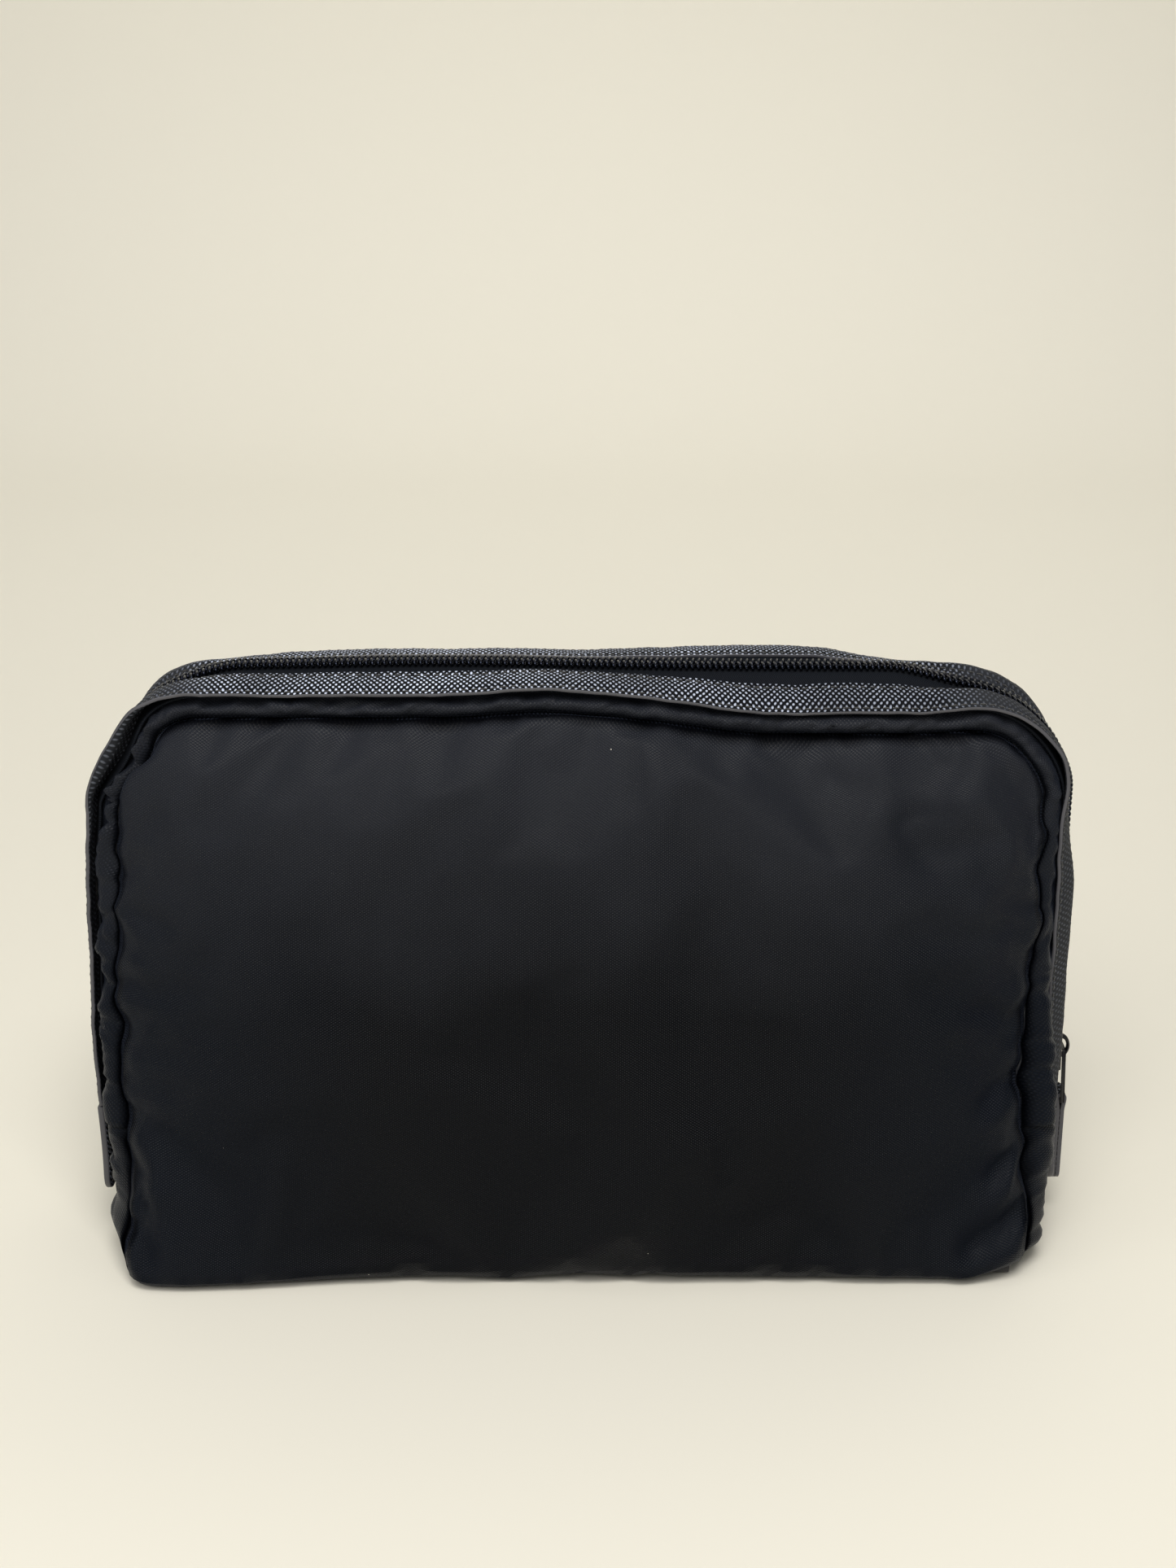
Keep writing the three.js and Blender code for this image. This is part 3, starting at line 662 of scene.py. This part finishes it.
# The board under the lining is pressed grey fibre, dull and slightly hairy.
board = grained("pressed fibre board", 900.0, 4.0, 0.4, 0.2, Roughness=0.85, Base_Color=linear("3A3A3C"))
for name, material in (("base_lining", lining), ("base_board", board)):
    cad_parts[name].data.materials.clear()
    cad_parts[name].data.materials.append(material)

# ---- the zip's tapes ----
# Black polyester tape in a herringbone weave, 0.6 mm thick, with a thicker beaded edge beside the coil. It
# slopes away under the leather trim. Past the stops both tapes' ends are sewn together.

TAPE_IN, TAPE_OUT = 0.6, 14  # a tape's two edges, out from the zip's middle line
TAPE_FLAT, TAPE_DROP = 5, 2.3  # where it starts to slope, and how far it falls
TAPE_THICK = 0.6


def tape_rise(out):
    """How high the tape lies at a distance from the zip's middle line."""
    slope = TAPE_DROP * max(0, out - TAPE_FLAT) / (TAPE_OUT - TAPE_FLAT)
    bead = 0.25 * bump(out, TAPE_IN + 0.4, 0.5)
    return 0.3 - slope + bead


def herringbone(name):
    """Matt black tape with fine slanting ribs that turn back every 1.2 mm, a shade lighter on their crests."""
    material, tree, shader = new_material(name, Roughness=0.8, Specular_IOR_Level=0.15)
    at = node(tree, "SeparateXYZ", links={"Vector": node(tree, "TexCoord").outputs["UV"]})
    # Chevrons 2.4 mm wide across the tape, their ribs 0.55 mm apart along it.
    zigzag = node(tree, "Math", {"operation": "PINGPONG", 1: 1.2 * MM}, {0: at.outputs["Y"]})
    slanted = node(tree, "Math", {"operation": "ADD"}, {0: at.outputs["X"], 1: zigzag.outputs[0]})
    turns = node(tree, "Math", {"operation": "MULTIPLY", 1: 2 * math.pi / (0.55 * MM)}, {0: slanted.outputs[0]})
    rib = node(tree, "Math", {"operation": "SINE"}, {0: turns.outputs[0]})
    lift = node(tree, "MapRange", {"From Min": -1.0}, {"Value": rib.outputs[0]})
    colour = node(tree, "MixRGB", {"Color1": linear("04060B"), "Color2": linear("121720")},
                  {"Fac": lift.outputs[0]})
    tree.links.new(colour.outputs[0], shader.inputs["Base Color"])
    bumped = node(tree, "Bump", {"Strength": 0.6, "Distance": 0.15 * MM}, {"Height": lift.outputs[0]})
    tree.links.new(bumped.outputs[0], shader.inputs["Normal"])
    return material


tape_cloth = herringbone("herringbone zip tape")
for end, name in HALVES:
    def tape_place(s, t, end=end):
        out = TAPE_IN + (TAPE_OUT - TAPE_IN) * t
        return on_band(s, out, tape_rise(out), end), TAPE_OUT - TAPE_IN

    tape = new_piece(f"{name}_zip_tape", ribbon(end, 300, 18, tape_place), tape_cloth, outward=False)
    thicken(tape, TAPE_THICK)
    half_piece(tape, end, f"{name}_tape")

for side, name in ENDS:
    bm = bmesh.new()
    bmesh.ops.create_grid(bm, x_segments=40, y_segments=6, size=1)
    lay_flat(bm, {v: (v.co.y * 3 * MM, (v.co.x + 1) * 13 * MM) for v in bm.verts})
    for v in bm.verts:
        out = abs(v.co.x) * 13.5
        v.co = settled(side * (BAND_HALF + tape_rise(out) - 0.75), v.co.x * 13.5, 41.5 + 3 * v.co.y) * MM
    if side < 0:
        bmesh.ops.reverse_faces(bm, faces=bm.faces)
    joined_end = new_piece(f"{name}_sewn_tape_end", bm, tape_cloth, outward=False)
    thicken(joined_end, TAPE_THICK)
    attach(joined_end, "base")
    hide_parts(f"{name}_zip_end")

# ---- the zip's coils and stops ----
# Each coil is one black nylon filament 0.66 mm thick, wound flat with a turn every 1.5 mm and sewn to its
# tape. Closed, each coil's heads stand between the other's. Painted metal stops sit past the chain's ends.

PITCH = 1.5
FILAMENT = 0.33  # the filament's radius
COIL_SIDES = 10  # how many points make one turn
# The filament is drawn smooth, and its gloss puts a small glint on each turn.
coil_nylon, coil_tree, coil_shader = new_material("nylon coil", Roughness=0.22, Specular_IOR_Level=0.5,
                                                  Specular_Tint=linear("C4D2FF"), Base_Color=linear("040508"))
streaks = node(coil_tree, "TexNoise", {"Scale": 1500.0, "Detail": 2.0},
               {"Vector": node(coil_tree, "TexCoord").outputs["Object"]})
end_sheen_and_coil_wear = node(coil_tree, "MapRange", {"To Min": 0.1, "To Max": 0.24}, {"Value": streaks.outputs["Fac"]})
coil_tree.links.new(end_sheen_and_coil_wear.outputs[0], coil_shader.inputs["Roughness"])

turns = int((BAND_RUN - 10) / PITCH)
for end, name in HALVES:
    # A turn is a flat loop, 3.5 mm across the tape and 1.4 mm high. The back's stand half a pitch along.
    winding = bpy.data.curves.new(f"{name}_winding", "CURVE")
    winding.dimensions = "3D"
    winding.bevel_depth = FILAMENT * MM
    winding.bevel_resolution = 1
    path = winding.splines.new("POLY")
    path.points.add(turns * COIL_SIDES)
    for i, point in enumerate(path.points):
        angle = 2 * math.pi * i / COIL_SIDES
        s = 5 + PITCH * (i / COIL_SIDES + (0.5 if end == BACK else 0))
        out, rise = 1.35 - 1.75 * math.cos(angle), 1.35 + 0.72 * math.sin(angle)
        x, z, nx, nz = arch(s)
        spot = settled(x + nx * rise, end * max(out, 0.01), z + nz * rise)
        spot.y = end * out
        point.co = (*(spot * MM), 1)
    wound = bpy.data.objects.new("winding", winding)
    scene.collection.objects.link(wound)
    bm = bmesh.new()
    bm.from_mesh(wound.to_mesh())
    coil = new_piece(f"{name}_zip_coil", bm, coil_nylon)
    bpy.data.objects.remove(wound)
    half_piece(coil, end, f"{name}_coil")

# Cast zinc under black lacquer: dark, smooth and a little orange-peeled, with soft bright edges.
painted = grained("black painted zinc", 700.0, 3.0, 0.15, 0.1, Metallic=0.6, Roughness=0.35,
                  Base_Color=linear("1A1A1E"), Coat_Weight=0.3)


def cuboid(low, high):
    """A plain box between two corners given in millimetres."""
    bm = bmesh.new()
    middle = Matrix.Translation((low + high) / 2 * MM)
    bmesh.ops.create_cube(bm, size=1, matrix=middle @ Matrix.Diagonal((*((high - low) * MM), 1)))
    return bm


def soften(bm, edges, radius, segments=3):
    """Rounds some edges of a mesh."""
    bmesh.ops.bevel(bm, geom=edges, offset=radius * MM, segments=segments, profile=0.5, affect="EDGES",
                    material=-1)


def block(low, high, rim):
    """A box with all its edges rounded."""
    bm = cuboid(Vector(low), Vector(high))
    soften(bm, bm.edges[:], rim)
    return bm


for stop in ("front_top_stop", "back_top_stop", "bottom_stop"):
    low, high = (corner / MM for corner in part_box(stop))
    clip = new_piece(f"{stop}_clip", block(low, high, 0.5), painted)
    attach(clip, "base")
    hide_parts(stop)

# ---- the leather trims ----
# A strip of charcoal leather, embossed with a fine cross-hatch and silvered on the raised lines, covers each
# tape's outer part. Its edges are painted, and black thread holds it in two rows, 1.3 mm from its edges.

TRIM_IN, TRIM_OUT = 5.8, 16.2  # its two edges, out from the zip's middle line, and how high each stands
TRIM_HIGH, TRIM_LOW = 0.9, -0.9
STITCH = 2.4
STITCH_GAP = 0.2
STITCH_INSET = 1.3
THREAD = 0.4


def embossed_leather(name, silver, smooth=0.0):
    """Charcoal leather with an embossed cross-hatch, its lines bright by silver, and smooth at the corners."""
    material, tree, shader = new_material(name, Roughness=0.6, Specular_IOR_Level=0.06)
    at = node(tree, "TexCoord").outputs["UV"]
    # Two sets of strokes cross at 70 degrees, broken up like pressed grain. The real ones are 0.9 mm apart, and
    # are drawn at 1.25 mm so that they don't melt together.
    heights = []
    for tilt in (35, -35):
        turned = node(tree, "Mapping", {"Rotation": (0, 0, math.radians(tilt))}, {"Vector": at})
        strokes = node(tree, "TexWave", {"bands_direction": "X", "Scale": 0.314 / (1.25 * MM),
                                         "Distortion": 1.8, "Detail": 1.5, "Detail Scale": 1.2},
                       {"Vector": turned.outputs[0]})
        heights.append(strokes.outputs["Fac"])
    blotches = node(tree, "TexNoise", {"Scale": 160.0, "Detail": 2.0}, {"Vector": at})
    chooser = node(tree, "MapRange", {"From Min": 0.42, "From Max": 0.58}, {"Value": blotches.outputs["Fac"]})
    hatch = node(tree, "MixRGB", links={"Fac": chooser.outputs[0], "Color1": heights[0], "Color2": heights[1]})
    diamonds = node(tree, "Math", {"operation": "MULTIPLY"}, {0: heights[0], 1: heights[1]})
    crossed = node(tree, "Math", {"operation": "MULTIPLY_ADD", 1: 0.45},
                   {0: hatch.outputs[0], 2: diamonds.outputs[0]})
    wear = node(tree, "TexNoise", {"Scale": 45.0, "Detail": 5.0}, {"Vector": at})
    lit = node(tree, "MapRange", {"From Min": 0.5, "From Max": 1.15, "To Max": 1.7 * silver},
               {"Value": crossed.outputs[0]})
    shine = node(tree, "Math", {"operation": "MULTIPLY"}, {0: lit.outputs[0], 1: wear.outputs["Fac"]})
    # The silvering is thinner towards the bag's right end, so the trim is darker there.
    place = node(tree, "SeparateXYZ", links={"Vector": node(tree, "TexCoord").outputs["Object"]})
    thinner = node(tree, "MapRange", {"From Min": -0.02, "From Max": 0.08, "To Min": 1, "To Max": 0.5},
                   {"Value": place.outputs["X"]})
    shine = node(tree, "Math", {"operation": "MULTIPLY"}, {0: shine.outputs[0], 1: thinner.outputs[0]})
    hatched = node(tree, "MixRGB", {"Color1": linear("0C0E12"), "Color2": linear("DDE7FF")},
                   {"Fac": shine.outputs[0]})
    # Where a trim turns a corner its embossing is stretched smooth.
    along = node(tree, "SeparateXYZ", links={"Vector": at})
    from_middle = node(tree, "Math", {"operation": "SUBTRACT", 1: BAND_RUN / 2 * MM}, {0: along.outputs["X"]})
    reach = node(tree, "Math", {"operation": "ABSOLUTE"}, {0: from_middle.outputs[0]})
    turned_in = node(tree, "MapRange", {"From Min": 88 * MM, "From Max": 100 * MM, "To Max": smooth},
                     {"Value": reach.outputs[0]})
    colour = node(tree, "MixRGB", {"Color2": linear("2E3035")},
                  {"Fac": turned_in.outputs[0], "Color1": hatched.outputs[0]})
    tree.links.new(colour.outputs[0], shader.inputs["Base Color"])
    bumped = node(tree, "Bump", {"Strength": 0.5, "Distance": 0.2 * MM}, {"Height": crossed.outputs[0]})
    tree.links.new(bumped.outputs[0], shader.inputs["Normal"])
    return material


leather = embossed_leather("embossed silvered leather", 1.0, 0.85)
# Grey acrylic paint seals the cut edges, and draws a thin pale line along the strip.
edge_paint = new_material("leather edge paint", Roughness=0.45, Base_Color=linear("48484E"))[0]
# Black thread of three plies, dull, with the faint roughness of its twist.
thread = grained("twisted polyester thread", 3000.0, 2.0, 0.4, 0.05, Roughness=0.55, Sheen_Weight=0.3,
                 Base_Color=linear("0A0A0D"))


def trim_point(s, t, end, lift=0.0):
    """A point of a trim's face: t runs from its inner edge to its outer one. Small creases cross it."""
    out = TRIM_IN + (TRIM_OUT - TRIM_IN) * t
    crease = 0.22 * noise.noise(Vector((s / 5, t * 0.7, 20 + end)))
    crease += 0.5 * noise.noise(Vector((s / 24, 0, end)))
    _, _, nx, nz = arch(s)
    # Its outer edge stands highest where the strip is bent round the corners.
    low = TRIM_LOW + 1.3 * max(-nx, 0) - 1.3 * max(nx, 0) * ramp(-nz, -0.5, 0)
    turned = bump(s if nx < 0 else BAND_RUN - s, SIDE_RUN + 0.4 * TURN_RUN, 17)
    low += turned * (1.4 if nx > 0 or end == BACK else 2.2)
    high = TRIM_HIGH - 1.4 * turned
    rise = high + (low - high) * t + 0.5 * math.sin(math.pi * t)
    rise -= 0.3 * bump(out, TRIM_IN + STITCH_INSET, 0.5) + 0.3 * bump(out, TRIM_OUT - STITCH_INSET, 0.5)
    waver = 0.35 * noise.noise(Vector((s / 14, 3, end)))
    return on_band(s, out + waver, rise + crease + lift, end)


def stitch(bm, a, b, up):
    """Adds one stitch to a bmesh: a slim bead of thread from a to b, in metres, bedded in the leather."""
    way = b - a
    side = up.cross(way).normalized()
    turn = Matrix((way.normalized(), side, way.normalized().cross(side))).transposed().to_4x4()
    shape = Matrix.Diagonal((way.length * 0.46, THREAD * MM, THREAD * 0.7 * MM, 1))
    bmesh.ops.create_icosphere(bm, subdivisions=1, radius=1,
                               matrix=Matrix.Translation((a + b) / 2) @ turn @ shape)


for end, name in HALVES:
    trim = new_piece(f"{name}_leather_trim",
                     ribbon(end, 420, 14, lambda s, t, end=end: (trim_point(s, t, end), TRIM_OUT - TRIM_IN)),
                     leather, outward=False)
    trim.data.materials.append(edge_paint)
    thicken(trim, 1.0, rim=0.3)
    trim.modifiers["thickness"].material_offset_rim = 1
    half_piece(trim, end, f"{name}_trim")
    bm = bmesh.new()
    inset = STITCH_INSET / (TRIM_OUT - TRIM_IN)
    for share in (inset, 1 - inset):
        for i in range(int(BAND_RUN / STITCH)):
            holes = (i * STITCH + STITCH_GAP, (i + 1) * STITCH - STITCH_GAP)
            a, b = (trim_point(s, share, end, 0.12) for s in holes)
            _, _, nx, nz = arch((i + 0.5) * STITCH)
            stitch(bm, a * MM, b * MM, Vector((nx, end * 0.2, nz)))
    rows = new_piece(f"{name}_trim_stitches", bm, thread)
    half_piece(rows, end)

# ---- the end tabs ----
# The leather of the trims ends in a free-hanging tab at each end: two plies with round lower corners, a painted
# edge and a row of stitches round it.

TAB_SAG = 3  # how far the left tab has stretched downwards
TAB_CURL = 1.2  # how far a tab's free end curls outwards
TAB_CORNER = 6
TAB_CUTS = 23  # cuts 1 mm apart across a tab, so that it can bend
ROW_INSET = 1.6
ROW_CORNER = 4.6


def hold_tab(piece, side):
    """The right tab is attached to the base; the left one keeps its place baked into its mesh."""
    if side == RIGHT:
        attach(piece, "base")
    else:
        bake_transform(piece)


def hung(x, y, z, side, low, high):
    """A point of a hanging tab that fills the box from low to high, in metres."""
    hang = (high.z - z) / (high.z - low.z)
    return (settled(x, y, z) + Vector((side * TAB_CURL * hang ** 2, 0, 0))) * MM


def tab_row(run, reach, drop, top):
    """The y and z of a point on a tab's row of stitches: down one side, round both corners and up the other."""
    straight = drop - ROW_CORNER
    bend = math.pi / 2 * ROW_CORNER
    across = 2 * (reach - ROW_CORNER)
    if run > straight + bend + across:
        y, z = tab_row(2 * (straight + bend) + across - run, reach, drop, top)
        return -y, z
    if run > straight + bend:
        return run - straight - bend - across / 2, top - drop
    if run > straight:
        angle = (run - straight) / ROW_CORNER
        return ROW_CORNER * (1 - math.cos(angle)) - reach, top - straight - ROW_CORNER * math.sin(angle)
    return -reach, top - run


tab_leather = embossed_leather("embossed leather of the tabs", 0.8)
for side, name in ENDS:
    low, high = (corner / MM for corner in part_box(f"{name}_end_tab"))
    if side == LEFT:
        low.z -= TAB_SAG
    bm = cuboid(low, high)
    lower = [e for e in bm.edges if all(v.co.z < (low.z + 1) * MM for v in e.verts)
             and abs(e.verts[0].co.x - e.verts[1].co.x) > 0.5 * MM]
    soften(bm, lower, TAB_CORNER, segments=8)
    soften(bm, [e for e in bm.edges if e.calc_face_angle(0) > 1], 0.45)
    for cut in range(1, TAB_CUTS + 1):
        bmesh.ops.bisect_plane(bm, geom=bm.verts[:] + bm.edges[:] + bm.faces[:],
                               plane_co=(0, 0, (high.z - cut) * MM), plane_no=(0, 0, 1))
    lay_flat(bm, {v: (v.co.z, v.co.y) for v in bm.verts})
    for v in bm.verts:
        v.co = hung(*(v.co / MM), side, low, high)
    tab = new_piece(f"{name}_leather_tab", bm, tab_leather)
    tab.data.materials.append(edge_paint)
    for face in tab.data.polygons:
        face.material_index = int(abs(face.normal.x) < 0.75)
    hold_tab(tab, side)
    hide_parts(f"{name}_end_tab")
    # The stitches show on both faces.
    bm = bmesh.new()
    reach = high.y - ROW_INSET
    drop = high.z - low.z - ROW_INSET
    length = 2 * (drop - ROW_CORNER) + math.pi * ROW_CORNER + 2 * (reach - ROW_CORNER)
    steps = int(length / STITCH)
    for i in range(steps):
        holes = (i * length / steps + STITCH_GAP, (i + 1) * length / steps - STITCH_GAP)
        for face_x, outwards in ((high.x, 1), (low.x, -1)):
            a, b = (hung(face_x, *tab_row(run, reach, drop, high.z), side, low, high) for run in holes)
            stitch(bm, a, b, Vector((outwards, 0, 0)))
    rows = new_piece(f"{name}_tab_stitches", bm, thread)
    hold_tab(rows, side)

# ---- the slider and its pull ----
# The slider is one zinc casting: two plates joined by a post, with lips that hold the coils, and a crown for
# the pull. The pull is a flat metal link with a folded leather tag on it.

PLATE = 1.3  # the thickness of the outer plate, and of the inner one
INNER_PLATE = 1.1
LIP_OUT = 3.7  # how far the lips stand from the middle, and half their thickness
LIP_HALF = 0.35


def joined(parts):
    """One mesh made of several."""
    bm = bmesh.new()
    for part in parts:
        mesh = bpy.data.meshes.new("part")
        part.to_mesh(mesh)
        part.free()
        bm.from_mesh(mesh)
        bpy.data.meshes.remove(mesh)
    return bm


low, high = (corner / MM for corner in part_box("slider_body"))
SLIDER_MIDDLE = (low.z + high.z) / 2
parts = []
for x_low, x_high, shrink in ((high.x - PLATE, high.x, 0.0), (low.x, low.x + INNER_PLATE, 0.4)):
    plate = block((x_low, low.y + shrink, low.z + shrink), (x_high, high.y - shrink, high.z - shrink), 0.4)
    for v in plate.verts:
        # The plates narrow behind the nose.
        v.co.y *= 1 - 0.16 * ramp(v.co.z / MM, low.z + 2.5, high.z)
    parts.append(plate)
for y in (-LIP_OUT, LIP_OUT):
    parts.append(block((high.x - 2.9, y - LIP_HALF, low.z + 0.6),
                       (high.x - 0.6, y + LIP_HALF, high.z - 0.6), 0.2))
parts.append(block((low.x + 0.5, -0.9, low.z + 0.5), (high.x - 0.5, 0.9, low.z + 3.3), 0.3))
slider = new_piece("zip_slider", joined(parts), painted)
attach(slider, "slider")
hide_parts("slider_body")

# The crown is a rod bent into an arch over the middle of the slider.
low, high = (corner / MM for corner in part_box("slider_crown"))
bm = bmesh.new()
foot = Matrix.Translation((low.x * MM, 0, (low.z + 0.7) * MM))
bmesh.ops.create_circle(bm, segments=12, radius=0.62 * MM, cap_ends=True,
                        matrix=foot @ Matrix.Rotation(math.pi / 2, 4, "Y"))
bmesh.ops.spin(bm, geom=bm.verts[:] + bm.edges[:] + bm.faces[:], axis=(0, 1, 0), steps=20, angle=-math.pi,
               cent=(low.x * MM, 0, SLIDER_MIDDLE * MM), use_merge=False)
for v in bm.verts:
    v.co.y *= 1.6
    v.co.x = (low.x + (v.co.x / MM - low.x) * (high.x - low.x) / (SLIDER_MIDDLE - low.z)) * MM
crown = new_piece("slider_crown_arch", bm, painted)
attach(crown, "slider")
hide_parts("slider_crown")

# The link is a flat frame, narrower at its top, where it hangs in the crown.
LINK_TOP_HALF = 2.7
low, high = (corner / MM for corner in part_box("pull_link"))
bm = bmesh.new()
outline = [(-LINK_TOP_HALF, high.z), (LINK_TOP_HALF, high.z), (high.y, low.z), (low.y, low.z)]
face = bm.faces.new([bm.verts.new(Vector((low.x, y, z)) * MM) for y, z in outline])
bmesh.ops.inset_individual(bm, faces=[face], thickness=1.1 * MM)
bmesh.ops.delete(bm, geom=[face], context="FACES_ONLY")
wall = bmesh.ops.extrude_face_region(bm, geom=bm.faces[:])
bmesh.ops.translate(bm, verts=[v for v in wall["geom"] if isinstance(v, bmesh.types.BMVert)],
                    vec=((high.x - low.x) * MM, 0, 0))
bmesh.ops.recalc_face_normals(bm, faces=bm.faces)
soften(bm, bm.edges[:], 0.3)
link = new_piece("pull_metal_link", bm, painted)
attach(link, "pull_link")
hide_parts("pull_link")

# The tag is one strip of leather folded over the link's lower bar, its two plies glued below the eye.
low, high = (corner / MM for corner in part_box("pull_tag"))
TAG_HALF = (high.y - low.y) / 2
TAG_PLY = 1.1
EYE = 1.5
EYE_DROP = 2.05
middle_x = (low.x + high.x) / 2
eye_z = high.z - EYE_DROP
down = eye_z - low.z
run = 2 * down + math.pi * EYE
bm = bmesh.new()
bmesh.ops.create_grid(bm, x_segments=110, y_segments=10, size=1)
lay_flat(bm, {v: (v.co.x * run / 2 * MM, v.co.y * TAG_HALF * MM) for v in bm.verts})
for v in bm.verts:
    along = run / 2 * v.co.x  # from the middle of the fold
    past = max(0, abs(along) - math.pi * EYE / 2)
    angle = (along / EYE) if past == 0 else math.copysign(math.pi / 2, along)
    to_end = down - past
    half = TAG_HALF if to_end >= TAG_HALF else math.sqrt(max(TAG_HALF ** 2 - (TAG_HALF - to_end) ** 2, 0.04))
    pinch = TAG_PLY + 0.02 + (EYE - TAG_PLY) * (1 - ramp(past, 0, 4))
    out = EYE * math.sin(angle) if past == 0 else math.copysign(pinch, along)
    v.co = Vector((middle_x + out, v.co.y * half, eye_z + EYE * math.cos(angle) - past)) * MM
tag = new_piece("pull_leather_tag", bm, embossed_leather("embossed leather of the pull", 0.5))
tag.data.materials.append(edge_paint)
thicken(tag, TAG_PLY - 0.05, rim=0.25)
tag.modifiers["thickness"].material_offset_rim = 1
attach(tag, "pull_tag")
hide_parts("pull_tag")
